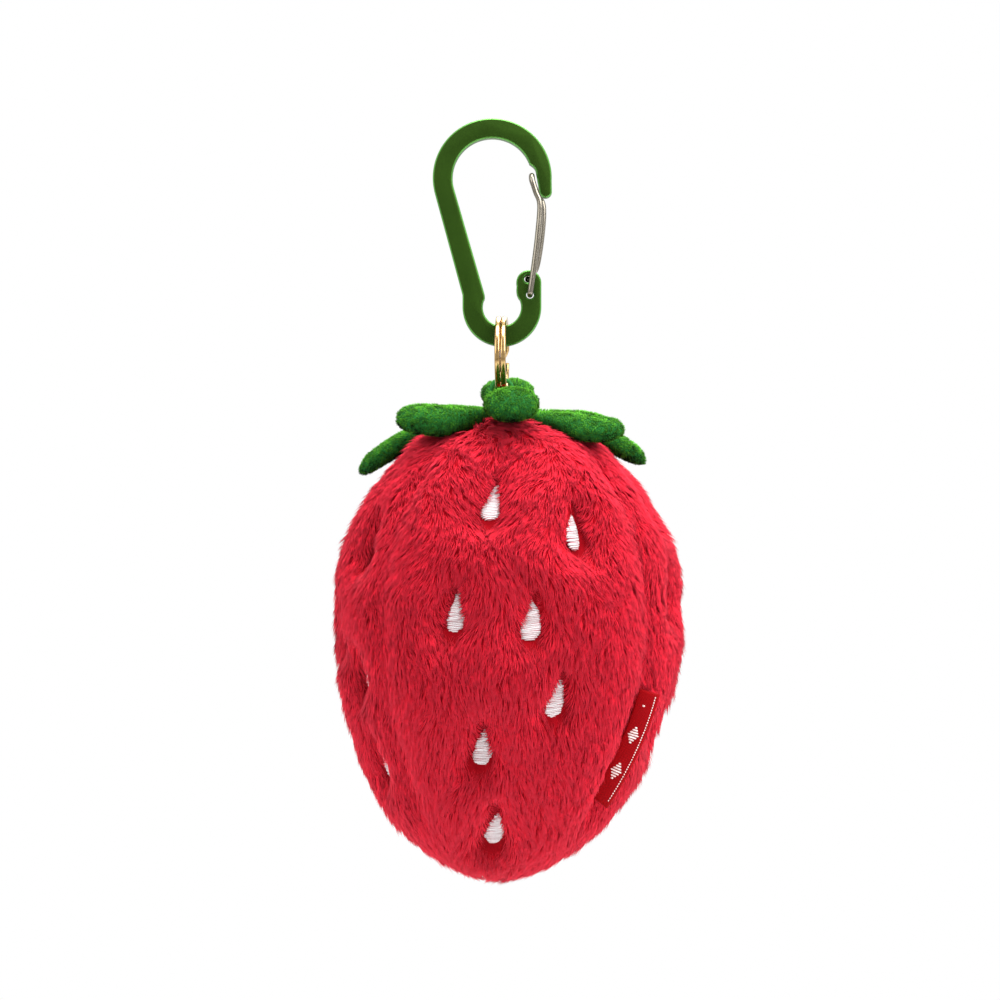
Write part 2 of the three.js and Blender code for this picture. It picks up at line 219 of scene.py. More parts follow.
# Shared by thread, cloth, metal and backing: a fine grain as a colour, a value and a raised normal.
def grainGroup():
    group, nodes, given = shadeGroup("fineGrain", {
        "scale": ("Float", 1500.0), "detail": ("Float", 3.0), "stretch": ("Vector", (1, 1, 1)),
        "tintShare": ("Float", 0.0), "start": ("Float", 0.3), "end": ("Float", 0.7),
        "dark": ("Color", (0, 0, 0, 1)), "light": ("Color", (1, 1, 1, 1)),
        "strength": ("Float", 0.5), "height": ("Float", 0.1 * mm),
    }, {"color": "Color", "grain": "Float", "normal": "Vector"})
    place = nodes.vector("MULTIPLY", nodes.add("ShaderNodeTexCoord").outputs["Object"], given["stretch"])
    noiseInputs = {"Vector": place, "Scale": given["scale"], "Detail": given["detail"]}
    grain = nodes.add("ShaderNodeTexNoise", noiseInputs).outputs["Fac"]
    tint = nodes.add("ShaderNodeAttribute", attribute_name="tint").outputs["Fac"]
    tinted = nodes.math("MULTIPLY", nodes.math("SUBTRACT", tint, grain), given["tintShare"])
    level = nodes.math("ADD", grain, tinted)
    spread = nodes.add("ShaderNodeMapRange", {0: level, 1: given["start"], 2: given["end"]}).outputs[0]
    mixed = nodes.add("ShaderNodeMix", {0: spread, 6: given["dark"], 7: given["light"]}, data_type="RGBA")
    raised = {"Height": grain, "Strength": given["strength"], "Distance": given["height"]}
    bump = nodes.add("ShaderNodeBump", raised)
    nodes.add("NodeGroupOutput", {0: mixed.outputs[2], 1: grain, 2: bump.outputs[0]})
    return group


# Shared by the loop's tape and the label: crossed threads that follow the strip's own UV map.
def weaveGroup():
    group, nodes, given = shadeGroup("crossedWeave", {
        "perMetre": ("Float", 9000.0), "dark": ("Color", (0, 0, 0, 1)), "light": ("Color", (1, 1, 1, 1)),
    }, {"color": "Color", "normal": "Vector"})
    split = nodes.add("ShaderNodeSeparateXYZ", {0: nodes.add("ShaderNodeUVMap", uv_map="cloth").outputs[0]})
    warp = nodes.math("SINE", nodes.math("MULTIPLY", split.outputs[0], given["perMetre"]))
    weft = nodes.math("SINE", nodes.math("MULTIPLY", split.outputs[1], given["perMetre"]))
    share = nodes.math("ADD", nodes.math("MULTIPLY", nodes.math("MULTIPLY", warp, weft), 0.5), 0.5)
    mixed = nodes.add("ShaderNodeMix", {0: share, 6: given["dark"], 7: given["light"]}, data_type="RGBA")
    bump = nodes.add("ShaderNodeBump", {"Height": share, "Strength": 0.7, "Distance": 0.06 * mm})
    nodes.add("NodeGroupOutput", {0: mixed.outputs[2], 1: bump.outputs[0]})
    return group


fineGrain = grainGroup()
crossedWeave = weaveGroup()


def grained(nodes, **values):
    return nodes.add("ShaderNodeGroup", values, node_tree=fineGrain).outputs


def threadMaterial(name, light, dark, roughness=0.5):
    material, nodes, shader = newMaterial(name, Roughness=roughness, Sheen_Weight=0.3)
    grain = grained(nodes, scale=2600.0, detail=2.0, tintShare=0.5, start=0.2, dark=dark, light=light,
                    height=0.08 * mm)
    paint(nodes, shader, Base_Color=grain["color"], Normal=grain["normal"])
    return material


def clothMaterial(name, dark, light, scale=1400.0):
    material, nodes, shader = newMaterial(name, Roughness=0.9, Specular_IOR_Level=0.08)
    grain = grained(nodes, scale=scale, dark=dark, light=light, strength=0.6, height=0.3 * mm)
    paint(nodes, shader, Base_Color=grain["color"], Normal=grain["normal"])
    return material


def metalMaterial(name, light, dark, roughness, stretch):
    material, nodes, shader = newMaterial(name, Metallic=1.0)
    grain = grained(nodes, stretch=stretch, dark=dark, light=light, strength=0.12, height=0.03 * mm)
    rough = nodes.math("ADD", nodes.math("MULTIPLY", grain["grain"], 0.14), roughness)
    paint(nodes, shader, Base_Color=grain["color"], Roughness=rough, Normal=grain["normal"])
    return material


def weaveMaterial(name, light, dark, perMetre):
    material, nodes, shader = newMaterial(name, Roughness=0.6, Specular_IOR_Level=0.08)
    inputs = {"perMetre": perMetre, "dark": dark, "light": light}
    woven = nodes.add("ShaderNodeGroup", inputs, node_tree=crossedWeave).outputs
    paint(nodes, shader, Base_Color=woven["color"], Normal=woven["normal"])
    return material


bodyLow, bodyHigh = unionBox([side + "_panel" for side in sides])
body = {
    "centreX": (bodyLow.x + bodyHigh.x) / 2,
    "halfWidth": (bodyHigh.x - bodyLow.x) / 2,
    "halfDepth": (bodyHigh.y - bodyLow.y) / 2,
    "topZ": bodyHigh.z,
    "bottomZ": bodyLow.z,
    "widestZ": bodyHigh.z - 40.4 * mm,
    "lean": 2.3 * mm,
    "leanReach": 45 * mm,
    "upperFullness": 2.3,
    "lowerFullness": 1.8,
    "upperRoundness": 0.5,
    "lowerRoundness": 0.55,
    "leanStart": 7 * mm,
    "skinInset": -0.6 * mm,
    "turn": math.radians(3.5),
    "frontAngle": math.radians(98),
}
seamRight = body["turn"] + body["frontAngle"] / 2
seamLeft = body["turn"] - body["frontAngle"] / 2
panelSpans = {
    "front": (seamLeft, seamRight),
    "right": (seamRight, seamLeft + math.pi),
    "back": (seamLeft + math.pi, seamRight + math.pi),
    "left": (seamRight - math.pi, seamLeft),
}
seamAngles = [seamRight, seamLeft + math.pi, seamRight + math.pi, seamLeft]


def shareAt(z):
    upper = np.abs(z - body["widestZ"]) / (body["topZ"] - body["widestZ"])
    lower = np.abs(z - body["widestZ"]) / (body["widestZ"] - body["bottomZ"])
    upperRest = np.maximum(1 - np.minimum(upper, 1) ** body["upperFullness"], 1e-9)
    lowerRest = np.maximum(1 - np.minimum(lower, 1) ** body["lowerFullness"], 1e-9)
    upperShare = upperRest ** body["upperRoundness"]
    lowerShare = lowerRest ** body["lowerRoundness"]
    return np.where(z > body["widestZ"], upperShare, lowerShare)


def centreAt(z):
    drop = smooth(body["widestZ"] - body["leanStart"] - z, 0, body["leanReach"])
    return body["centreX"] - body["lean"] * drop


def bodyPlace(azimuth, z, share, inset=0.0):
    return Vector((float(centreAt(np.array(z))) + (body["halfWidth"] - inset) * share * math.sin(azimuth),
                   -(body["halfDepth"] - inset) * share * math.cos(azimuth), z))


def azimuthOf(points):
    ratio = body["halfWidth"] / body["halfDepth"]
    return np.arctan2(points[:, 0] - centreAt(points[:, 2]), -points[:, 1] * ratio)


def wrapped(angle):
    return (angle + math.pi) % (2 * math.pi) - math.pi


def seedPlaces():
    places = []
    for side in sides:
        for index in range(1, 8):
            low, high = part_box(f"{side}_seed_{index}")
            middle = (low + high) / 2
            azimuth = azimuthOf(np.array([middle]))[0]
            places.append({"side": side, "azimuth": azimuth, "z": middle.z})
    return places


seeds = seedPlaces()
seedShape = {
    "length": 9.6 * mm,
    "bulb": 2.5 * mm,  # half the width of the round end
    "tip": 0.35 * mm,
    "lean": 0.10,
}


# Distance on the panel from a seed's outline: a drop made of circles that shrink towards its tip.
def seedDistance(points, azimuths, seed, shift=0.0):
    radius = body["halfWidth"] * shareAt(points[:, 2])
    up = points[:, 2] - shift - seed["z"]
    across = wrapped(azimuths - seed["azimuth"]) * radius - up * seedShape["lean"]
    bulbUp = -seedShape["length"] / 2 + seedShape["bulb"]
    tipUp = seedShape["length"] / 2 - seedShape["tip"]
    best = np.full(len(points), 1.0)
    for step in np.linspace(0, 1, 7):
        centreUp = bulbUp + (tipUp - bulbUp) * step
        size = seedShape["bulb"] + (seedShape["tip"] - seedShape["bulb"]) * step ** 0.8
        best = np.minimum(best, np.hypot(across, up - centreUp) - size)
    return best, across, up


def seamDistance(points, azimuths):
    radius = body["halfWidth"] * shareAt(points[:, 2])
    gaps = [np.abs(wrapped(azimuths - seam)) for seam in seamAngles]
    return np.min(gaps, axis=0) * radius


def lumps(places, scale, shift):
    return np.array([noise.noise(Vector(place) * scale + Vector((shift, 3, 7))) for place in places])


# The skin is a closed grid from pole to pole. Seams and seed places are drawn in and held,
# and the cloth between them is blown out by the stuffing.
def buildSkin():
    settings = {
        "columns": 112,
        "rows": 72,
        "seedDimple": 3.1 * mm,
        "seedSpread": 3.0 * mm,
        "seedHold": 1.6 * mm,
        "seamValley": 2.0 * mm,
        "seamSpread": 2.6 * mm,
        "seamHold": 1.1 * mm,
        "lumps": [(42, 4, 0.9 * mm), (105, 11, 0.35 * mm)],  # how many per metre, seed, height
        "crownRise": 1.0 * mm,
        "enlarge": 25,
        "pressure": 14.0,
        "frames": 24,
        "mostMove": 2.2 * mm,
    }
    columns, rows = settings["columns"], settings["rows"]
    inset = body["skinInset"]
    tall = body["topZ"] - body["bottomZ"]
    points = []
    for row in range(1, rows):
        angle = math.pi * row / rows
        reach = body["topZ"] - body["widestZ"] if angle < math.pi / 2 else body["widestZ"] - body["bottomZ"]
        z = body["widestZ"] + (reach - inset) * math.cos(angle)
        stretched = body["widestZ"] + (z - body["widestZ"]) * (tall / (tall - 2 * inset))
        share = float(shareAt(np.array(stretched)))
        points.extend([bodyPlace(seamRight + 2 * math.pi * column / columns, z, share, inset)
                       for column in range(columns)])
    top = len(points)
    points.append((body["centreX"], 0, body["topZ"] - inset))
    points.append((float(centreAt(np.array(body["bottomZ"]))), 0, body["bottomZ"] + inset))
    faces = []
    last = (rows - 2) * columns
    for row in range(rows - 2):
        for column in range(columns):
            here = row * columns + column
            right = row * columns + (column + 1) % columns
            faces.append((here, here + columns, right + columns, right))
    for column in range(columns):
        right = (column + 1) % columns
        faces.append((top, column, right))
        faces.append((top + 1, last + right, last + column))
    skin = meshObject("skin", points, faces)
    places = pointsOf(skin.data)
    azimuths = azimuthOf(places)
    shares = shareAt(places[:, 2])
    seamGap = seamDistance(places, azimuths)
    poleFade = smooth(shares, 0.35, 0.75)
    depth = settings["seamValley"] * np.exp(-(seamGap / settings["seamSpread"]) ** 2) * poleFade
    held = np.exp(-(seamGap / settings["seamHold"]) ** 2) * poleFade
    for seed in seeds:
        distance = seedDistance(places, azimuths, seed)[0]
        depth += settings["seedDimple"] * np.exp(-(np.maximum(distance, 0) / settings["seedSpread"]) ** 2)
        held = np.maximum(held, 1 - smooth(distance, 0.0, settings["seedHold"]))
    held = np.maximum(held, 1 - smooth(shares, 0.12, 0.25))
    for scale, shift, height in settings["lumps"]:
        depth += lumps(places, scale, shift) * height
    depth -= settings["crownRise"] * smooth(places[:, 2], body["topZ"] - 9 * mm, body["topZ"] - 1 * mm)
    moved = places - normalsOf(skin.data) * depth[:, None]
    skin.data.vertices.foreach_set("co", moved.ravel())
    skin.data.update()
    blowUp(skin, held, settings)
    print("skin shaped")
    return skin


# The cloth solver works best at metre size, so the skin is simulated enlarged.
def blowUp(skin, held, settings):
    start = pointsOf(skin.data)
    enlarged = start * settings["enlarge"]
    skin.data.vertices.foreach_set("co", enlarged.ravel())
    skin.data.update()
    group = skin.vertex_groups.new(name="held")
    for index, weight in enumerate(held):
        group.add([index], float(weight), "REPLACE")
    cloth = skin.modifiers.new("cloth", "CLOTH")
    cloth.settings.quality = 7
    cloth.settings.mass = 0.3
    cloth.settings.tension_stiffness = 12
    cloth.settings.compression_stiffness = 12
    cloth.settings.shear_stiffness = 6
    cloth.settings.bending_stiffness = 1.5
    cloth.settings.use_pressure = True
    cloth.settings.uniform_pressure_force = settings["pressure"]
    cloth.settings.vertex_group_mass = "held"
    cloth.settings.effector_weights.gravity = 0
    cloth.collision_settings.use_collision = False
    cloth.point_cache.frame_start = 1
    cloth.point_cache.frame_end = settings["frames"]
    for step in range(1, settings["frames"] + 1):
        bpy.context.scene.frame_set(step)
    blown = skin.evaluated_get(bpy.context.evaluated_depsgraph_get())
    move = (pointsOf(blown.data) - enlarged) / settings["enlarge"]
    size = np.linalg.norm(move, axis=1)
    print("cloth moved the skin by", round(float(size.mean()) / mm, 2), "mm on average")
    capped = move * np.minimum(1, settings["mostMove"] / np.maximum(size, 1e-9))[:, None]
    skin.modifiers.remove(cloth)
    skin.vertex_groups.remove(group)
    bpy.context.scene.frame_set(1)
    skin.data.vertices.foreach_set("co", (start + capped).ravel())
    skin.data.update()


# One strand of ten triangles: it leaves the root at one lift and bends to another at its tip.
def strandTemplate(name, length, rootRadius, rootLift, tipLift):
    shares = [0.0, 0.5, 1.0]
    lifts = [rootLift, (rootLift + tipLift) / 2, tipLift]
    points = []
    along = []
    place = Vector((0, 0, -0.2 * mm))
    for index, share in enumerate(shares):
        if index:
            lift = (lifts[index - 1] + lifts[index]) / 2
            step = (share - shares[index - 1]) * length
            place = place + Vector((math.cos(lift) * step, 0, math.sin(lift) * step))
        if share == 1.0:
            points.append(place.copy())
            along.append(share)
            break
        radius = rootRadius * (1 - 0.35 * share)
        normal = Vector((-math.sin(lifts[index]), 0, math.cos(lifts[index])))
        for corner in range(3):
            angle = 2 * math.pi * corner / 3 + math.pi / 2
            sideways = Vector((0, 1, 0)) * radius * math.cos(angle)
            points.append(place + sideways + normal * radius * math.sin(angle))
            along.append(share)
    faces = [(2, 1, 0)]
    for corner in range(3):
        after = (corner + 1) % 3
        faces.append((corner, after, after + 3, corner + 3))
        faces.append((3 + corner, 3 + after, 6))
    strand = facingOut(meshObject(name, points, faces))
    storeField(strand.data, "along", np.array(along))
    strand.hide_render = True
    return strand


def furTree():
    tree = bpy.data.node_groups.new("furGrower", "GeometryNodeTree")
    sockets = [("Surface", "NodeSocketGeometry", None), ("Strand", "NodeSocketObject", None),
               ("Strands per square metre", "NodeSocketFloat", 5e6),
               ("Clumps per square metre", "NodeSocketFloat", 2.2e5),
               ("Clump Pull", "NodeSocketFloat", 0.8), ("Reach", "NodeSocketFloat", 5.5 * mm),
               ("Stray", "NodeSocketFloat", 1.2 * mm), ("Lift Spread", "NodeSocketFloat", 0.25),
               ("Length Spread", "NodeSocketFloat", 0.25), ("Seed", "NodeSocketInt", 1),
               ("Material", "NodeSocketMaterial", None)]
    for label, kind, value in sockets:
        made = tree.interface.new_socket(name=label, in_out="INPUT", socket_type=kind)
        if value is not None:
            made.default_value = value
    tree.interface.new_socket(name="Fur", in_out="OUTPUT", socket_type="NodeSocketGeometry")
    nodes = NodeTree(tree)
    given = nodes.add("NodeGroupInput").outputs

    def field(name, kind="FLOAT"):
        named = nodes.add("GeometryNodeInputNamedAttribute", {"Name": name}, data_type=kind)
        return named.outputs["Attribute"]

    def chance(low, high, offset, kind="FLOAT"):
        picked = nodes.add("FunctionNodeRandomValue", data_type=kind)
        nodes.link(nodes.math("ADD", given["Seed"], offset), picked.inputs["Seed"])
        enabled(picked.inputs, "Min").default_value = low
        enabled(picked.inputs, "Max").default_value = high
        return enabled(picked.outputs)

    density = nodes.math("MULTIPLY", given["Strands per square metre"], field("growth"))
    rooted = nodes.add("GeometryNodeDistributePointsOnFaces",
                       {"Mesh": given["Surface"], "Density": density, "Seed": given["Seed"]},
                       distribute_method="RANDOM")
    clumps = nodes.add("GeometryNodeDistributePointsOnFaces",
                       {"Mesh": given["Surface"], "Density": given["Clumps per square metre"],
                        "Seed": nodes.math("ADD", given["Seed"], 7.0)}, distribute_method="RANDOM")
    here = nodes.add("GeometryNodeInputPosition").outputs[0]
    clumpPoints = clumps.outputs["Points"]
    nearest = nodes.add("GeometryNodeSampleNearest", {"Geometry": clumpPoints, "Sample Position": here},
                        domain="POINT").outputs["Index"]

    def fromClump(value, kind):
        sampled = nodes.add("GeometryNodeSampleIndex", {"Geometry": clumpPoints, "Index": nearest},
                            data_type=kind, domain="POINT")
        nodes.link(value, enabled(sampled.inputs, "Value"))
        return enabled(sampled.outputs)

    clumpPlace = fromClump(here, "FLOAT_VECTOR")
    clumpLift = fromClump(chance(-1.0, 1.0, 11.0), "FLOAT")
    clumpTint = fromClump(chance(0.0, 1.0, 12.0), "FLOAT")
    clumpLength = fromClump(chance(-1.0, 1.0, 13.0), "FLOAT")
    clumpTurn = fromClump(chance((-1, -1, -1), (1, 1, 1), 14.0, "FLOAT_VECTOR"), "FLOAT_VECTOR")

    # Each strand heads along the combed direction, drawn towards the middle of its clump.
    combed = nodes.scaled(field("comb", "FLOAT_VECTOR"), given["Reach"])
    pull = nodes.scaled(nodes.vector("SUBTRACT", clumpPlace, here), given["Clump Pull"])
    clumpStray = nodes.scaled(clumpTurn, nodes.math("MULTIPLY", given["Stray"], 1.3))
    stray = nodes.scaled(chance((-1, -1, -1), (1, 1, 1), 3.0, "FLOAT_VECTOR"), given["Stray"])
    heading = nodes.vector("ADD", nodes.vector("ADD", combed, pull), nodes.vector("ADD", stray, clumpStray))
    upright = nodes.add("FunctionNodeAlignRotationToVector", {"Vector": rooted.outputs["Normal"]}, axis="Z")
    turned = nodes.add("FunctionNodeAlignRotationToVector",
                       {"Rotation": upright.outputs[0], "Vector": heading}, axis="X", pivot_axis="Z")
    ownSpread = nodes.math("MULTIPLY", given["Lift Spread"], 0.6)
    lift = nodes.math("ADD", nodes.math("MULTIPLY", clumpLift, given["Lift Spread"]),
                      nodes.math("MULTIPLY", chance(-1.0, 1.0, 4.0), ownSpread))
    lift = nodes.math("ADD", lift, field("raise"))
    tilt = nodes.add("ShaderNodeCombineXYZ", {"Y": nodes.math("MULTIPLY", lift, -1.0)})
    tilted = nodes.add("FunctionNodeRotateRotation",
                       {"Rotation": turned.outputs[0], "Rotate By": tilt.outputs[0]}, rotation_space="LOCAL")
    spread = nodes.math("MULTIPLY", given["Length Spread"],
                        nodes.math("ADD", clumpLength, chance(-1.0, 1.0, 5.0)))
    size = nodes.math("MULTIPLY", field("pile"), nodes.math("ADD", spread, 1.0))
    width = nodes.math("ADD", nodes.math("MULTIPLY", size, 0.5), 0.5)
    scale = nodes.add("ShaderNodeCombineXYZ", {"X": size, "Y": width, "Z": size})
    strand = nodes.add("GeometryNodeObjectInfo", {"Object": given["Strand"]}, transform_space="ORIGINAL")
    placed = nodes.add("GeometryNodeInstanceOnPoints",
                       {"Points": rooted.outputs["Points"], "Instance": strand.outputs["Geometry"],
                        "Rotation": tilted.outputs[0], "Scale": scale.outputs[0]})
    fields = [("tint", chance(0.0, 1.0, 6.0), "FLOAT"), ("clumpTint", clumpTint, "FLOAT"),
              ("ground", rooted.outputs["Normal"], "FLOAT_VECTOR")]
    finishTree(nodes, placed.outputs[0], fields, given["Material"])
    return tree


# Fields are stored on the instances, which are then made real and given their material.
def finishTree(nodes, result, fields, material):
    for label, value, kind in fields:
        stored = nodes.add("GeometryNodeStoreNamedAttribute", {"Name": label, "Geometry": result},
                           data_type=kind, domain="INSTANCE")
        nodes.link(value, enabled(stored.inputs, "Value"))
        result = stored.outputs[0]
    real = nodes.add("GeometryNodeRealizeInstances", {"Geometry": result})
    painted = nodes.add("GeometryNodeSetMaterial", {"Geometry": real.outputs[0], "Material": material})
    nodes.add("NodeGroupOutput", {0: painted.outputs[0]})


def runNodes(name, base, tree, **values):
    grower = base.modifiers.new("grower", "NODES")
    grower.node_group = tree
    for item in tree.interface.items_tree:
        key = item.name.replace(" ", "_")
        if item.item_type == "SOCKET" and item.in_out == "INPUT" and key in values:
            grower[item.identifier] = values[key]
    grown = plainCopy(base, name)
    base.modifiers.remove(grower)
    return grown


def refined(source, name, levels):
    copy = linked(name, source.data.copy())
    finer = copy.modifiers.new("finer", "SUBSURF")
    finer.levels = levels
    finer.render_levels = levels
    result = plainCopy(copy, name)
    discard(copy)
    return result


coat = {
    "strands": 7.5e6,
    "quickStrands": 6.0e6,
    "clumps": 7.0e5,
    "length": 3.7 * mm,
    "radius": 0.088 * mm,
    "rootLift": math.radians(36),
    "tipLift": math.radians(3),
    "clumpPull": 0.45,
    "reach": 3.4 * mm,
    "stray": 0.6 * mm,
    "liftSpread": 0.12,
    "lengthSpread": 0.14,
    "wall": 1.0 * mm,
    "crown": (17 * mm, 3 * mm),  # depths under the top between which the pile turns to its crown
    "bare": (0.1 * mm, 0.7 * mm),  # distances from a seed between which the pile starts to grow
    "shortest": 0.22,
    "besideSeed": 1.5 * mm,
    # The next three set the painted shade round each seed: the band's width and what is added below it, and
    # how much it darkens the pile's and the backing's colour.
    "paintedShadeWidth": (1.1 * mm, 0.9 * mm),  # width of the shade round a seed, and what is added below it
    "paintedPitShade": 0.45,
    "backingShade": 0.5,
}


# Comb directions, pile length, lift and growth for every point of a fur base, and a mask of painted shade
# round the seeds.
def combFields(base, length):
    mesh = base.data
    places = pointsOf(mesh)
    normals = normalsOf(mesh)
    azimuths = azimuthOf(places)
    down = np.array([0, 0, -1.0]) + normals * normals[:, 2:3]
    down /= np.maximum(np.linalg.norm(down, axis=1), 1e-4)[:, None]
    aside = np.cross(normals, down)
    crown = smooth(places[:, 2], body["topZ"] - coat["crown"][0], body["topZ"] - coat["crown"][1])
    ripple = lumps(places, 210, 9)
    turn = lumps(places, 62, 3) * (0.75 + 0.6 * crown) + ripple * (0.5 + 0.4 * crown)
    comb = down * np.cos(turn)[:, None] + aside * np.sin(turn)[:, None]
    pile = 1 + 0.12 * ripple + 0.10 * crown
    growth = np.ones(len(places))
    # depth here is not a depth but a mask of painted shade: 1 where the colour of strands and backing by a
    # seed is darkened as if they were shadowed in its pit.
    depth = np.zeros(len(places))
    lift = -0.10 * crown + 0.16 * lumps(places, 120, 5)
    radius = body["halfWidth"] * shareAt(places[:, 2])
    for seed in seeds:
        near = (np.abs(places[:, 2] - seed["z"]) < 16 * mm) & (
            np.abs(wrapped(azimuths - seed["azimuth"])) * radius < 12 * mm)
        if not near.any():
            continue
        index = np.nonzero(near)[0]
        distance, across, up = seedDistance(places[index], azimuths[index], seed)
        growth[index] *= smooth(distance, *coat["bare"])
        # room is how far a strand can run down before it would lie over the seed
        room = np.full(len(index), 12 * mm)
        for step in range(1, 16):
            drop = step * 0.5 * mm
            ahead, _, _ = seedDistance(places[index], azimuths[index], seed, drop)
            room = np.where((ahead < 0.2 * mm) & (room > drop), drop, room)
        far = np.maximum(np.hypot(across, up), 1e-5)
        outAcross = across / far
        outUp = up / far
        below = np.clip(-outUp, 0, 1)
        beside = np.exp(-(np.maximum(distance, 0) / coat["besideSeed"]) ** 2)
        rimmed = 0.40 + 0.60 * smooth(distance / mm, 0.2, 2.6 - 1.4 * below)
        fitting = np.maximum(coat["shortest"], np.minimum(rimmed, (room - 0.1 * mm) / length))
        pile[index] = np.minimum(pile[index], fitting)
        # Painted shade: a band round the seed's outline, wider below it, where the pile and backing colour
        # is darkened.
        paintedShadeNearSeed = np.exp(-(np.maximum(distance, 0) / (coat["paintedShadeWidth"][0] + coat["paintedShadeWidth"][1] * below)) ** 2)
        depth[index] = np.maximum(depth[index], paintedShadeNearSeed)
        away = aside[index] * -outAcross[:, None] - down[index] * outUp[:, None] * 0.8
        comb[index] += away * (2.0 * beside)[:, None]
        lift[index] -= 0.16 * beside
    labelLow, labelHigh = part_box("side_label")
    level = smooth(places[:, 2], labelLow.z - 2 * mm, labelLow.z + 1 * mm)
    level *= 1 - smooth(places[:, 2], labelHigh.z - 1 * mm, labelHigh.z + 3 * mm)
    fromSeam = np.abs(wrapped(azimuths - seamRight)) * radius
    pile *= 1 - 0.5 * level * (1 - smooth(fromSeam, 1 * mm, 5 * mm))
    comb /= np.maximum(np.linalg.norm(comb, axis=1), 1e-6)[:, None]
    # depth is stored as the painted-shade mask that the pile and backing materials read.
    fields = {"comb": comb, "pile": pile, "growth": growth, "raise": lift, "depth": depth}
    for label, values in fields.items():
        storeField(mesh, label, values)


def splitByPanel(base, side, upper=None, splitZ=0.0):
    low, high = panelSpans[side]
    middle = (low + high) / 2
    bm = bmesh.new()
    bm.from_mesh(base.data)
    drop = []
    for face in bm.faces:
        centre = face.calc_center_median()
        angle = float(azimuthOf(np.array([centre]))[0])
        outside = abs(wrapped(angle - middle)) > (high - low) / 2
        if upper is not None:
            outside = outside or (centre.z > splitZ) != upper
        if outside:
            drop.append(face)
    bmesh.ops.delete(bm, geom=drop, context="FACES")
    mesh = bpy.data.meshes.new("part")
    bm.to_mesh(mesh)
    bm.free()
    return linked("part", mesh)


# Red pile: the slightly darker root and the lighter, pinker tip are painted shade low in the pile and
# painted sheen at the tips. The fur gets no painted top light.
furLook = {
    "root": (0.92, 0.012, 0.030, 1),
    "middle": (0.96, 0.018, 0.044, 1),
    "tip": (0.98, 0.044, 0.084, 1),
    "strandSpread": 0.07,
    "clumpSpread": 0.05,
    "softness": 0.92,
    "paintedTopLight": 0.0,
    "patchSpread": 0.1,
    "patchScale": 120.0,
}


# Shared by every pile: colour along a strand, darker at the root as painted shade and lighter at the tip as
# painted highlight, with differences by strand, clump and patch, painted shade round the seeds, painted top
# light, and a normal that leans towards that of the cloth below.
def strandGroup():
    plain = (0, 0, 0, 1)
    group, nodes, given = shadeGroup("strandShade", {
        "root": ("Color", plain), "middle": ("Color", plain), "tip": ("Color", plain),
        "strandSpread": ("Float", 0.0), "clumpSpread": ("Float", 0.0), "softness": ("Float", 0.5),
        "paintedTopLight": ("Float", 0.0), "patchSpread": ("Float", 0.0), "patchScale": ("Float", 100.0),
    }, {"color": "Color", "normal": "Vector"})

    def stored(name, output="Fac"):
        return nodes.add("ShaderNodeAttribute", attribute_name=name).outputs[output]

    def around(value, spread):
        return nodes.math("MULTIPLY", nodes.math("SUBTRACT", value, 0.5), spread)

    ground = stored("ground", "Vector")
    # Painted shade and highlight: each strand's colour runs from the darker root colour to the lighter tip
    # colour.
    doubled = nodes.math("MULTIPLY", stored("along"), 2.0)
    lower = nodes.add("ShaderNodeMix", {0: doubled, 6: given["root"], 7: given["middle"]}, data_type="RGBA")
    upper = nodes.math("SUBTRACT", doubled, 1.0)
    whole = nodes.add("ShaderNodeMix", {0: upper, 6: lower.outputs[2], 7: given["tip"]}, data_type="RGBA")
    place = nodes.add("ShaderNodeTexCoord").outputs["Object"]
    patch = nodes.add("ShaderNodeTexNoise", {"Vector": place, "Scale": given["patchScale"], "Detail": 2.0})
    upward = nodes.add("ShaderNodeSeparateXYZ", {"Vector": ground}).outputs["Z"]
    # Painted shade: strands by a seed are darkened by the depth mask.
    value = nodes.math("SUBTRACT", 1.0, nodes.math("MULTIPLY", stored("depth"), coat["paintedPitShade"]))
    # Painted light: by the top-light gain, pile on cloth that faces up is made lighter and pile on cloth
    # that faces down darker.
    for change in (nodes.math("MULTIPLY", upward, given["paintedTopLight"]),
                   around(patch.outputs["Fac"], given["patchSpread"]),
                   around(stored("tint"), given["strandSpread"]),
                   around(stored("clumpTint"), given["clumpSpread"])):
        value = nodes.math("ADD", value, change)
    shade = nodes.add("ShaderNodeHueSaturation", {"Value": value, "Color": whole.outputs[2]})
    turned = nodes.add("ShaderNodeVectorTransform", {0: ground}, vector_type="NORMAL",
                       convert_from="OBJECT", convert_to="WORLD")
    own = nodes.add("ShaderNodeNewGeometry").outputs["Normal"]
    rest = nodes.math("SUBTRACT", 1.0, given["softness"])
    clothShare = nodes.scaled(turned.outputs[0], given["softness"])
    blended = nodes.vector("ADD", clothShare, nodes.scaled(own, rest))
    nodes.add("NodeGroupOutput", {0: shade.outputs[0], 1: nodes.vector("NORMALIZE", blended)})
    return group


def pileMaterial(name, look, **values):
    material, nodes, shader = newMaterial(name, **values)
    shaded = nodes.add("ShaderNodeGroup", look, node_tree=strandShade).outputs
    paint(nodes, shader, Base_Color=shaded["color"], Normal=shaded["normal"])
    return material


def skinMaterial():
    material, nodes, shader = newMaterial("furBacking", Roughness=0.9, Specular_IOR_Level=0.03)
    # The backing cloth's own red, made darker than the pile partly as painted shade in the gaps between
    # strands.
    grain = grained(nodes, scale=900.0, start=0.0, end=1.0, strength=0.6, height=0.4 * mm,
                    dark=(0.30, 0.002, 0.006, 1), light=(0.46, 0.005, 0.014, 1))
    # Painted shade: the backing by a seed is darkened by the depth mask.
    depth = nodes.add("ShaderNodeAttribute", attribute_name="depth").outputs["Fac"]
    value = nodes.math("SUBTRACT", 1.0, nodes.math("MULTIPLY", depth, coat["backingShade"]))
    shaded = nodes.add("ShaderNodeHueSaturation", {"Value": value, "Color": grain["color"]})
    paint(nodes, shader, Base_Color=shaded.outputs[0], Normal=grain["normal"])
    return material


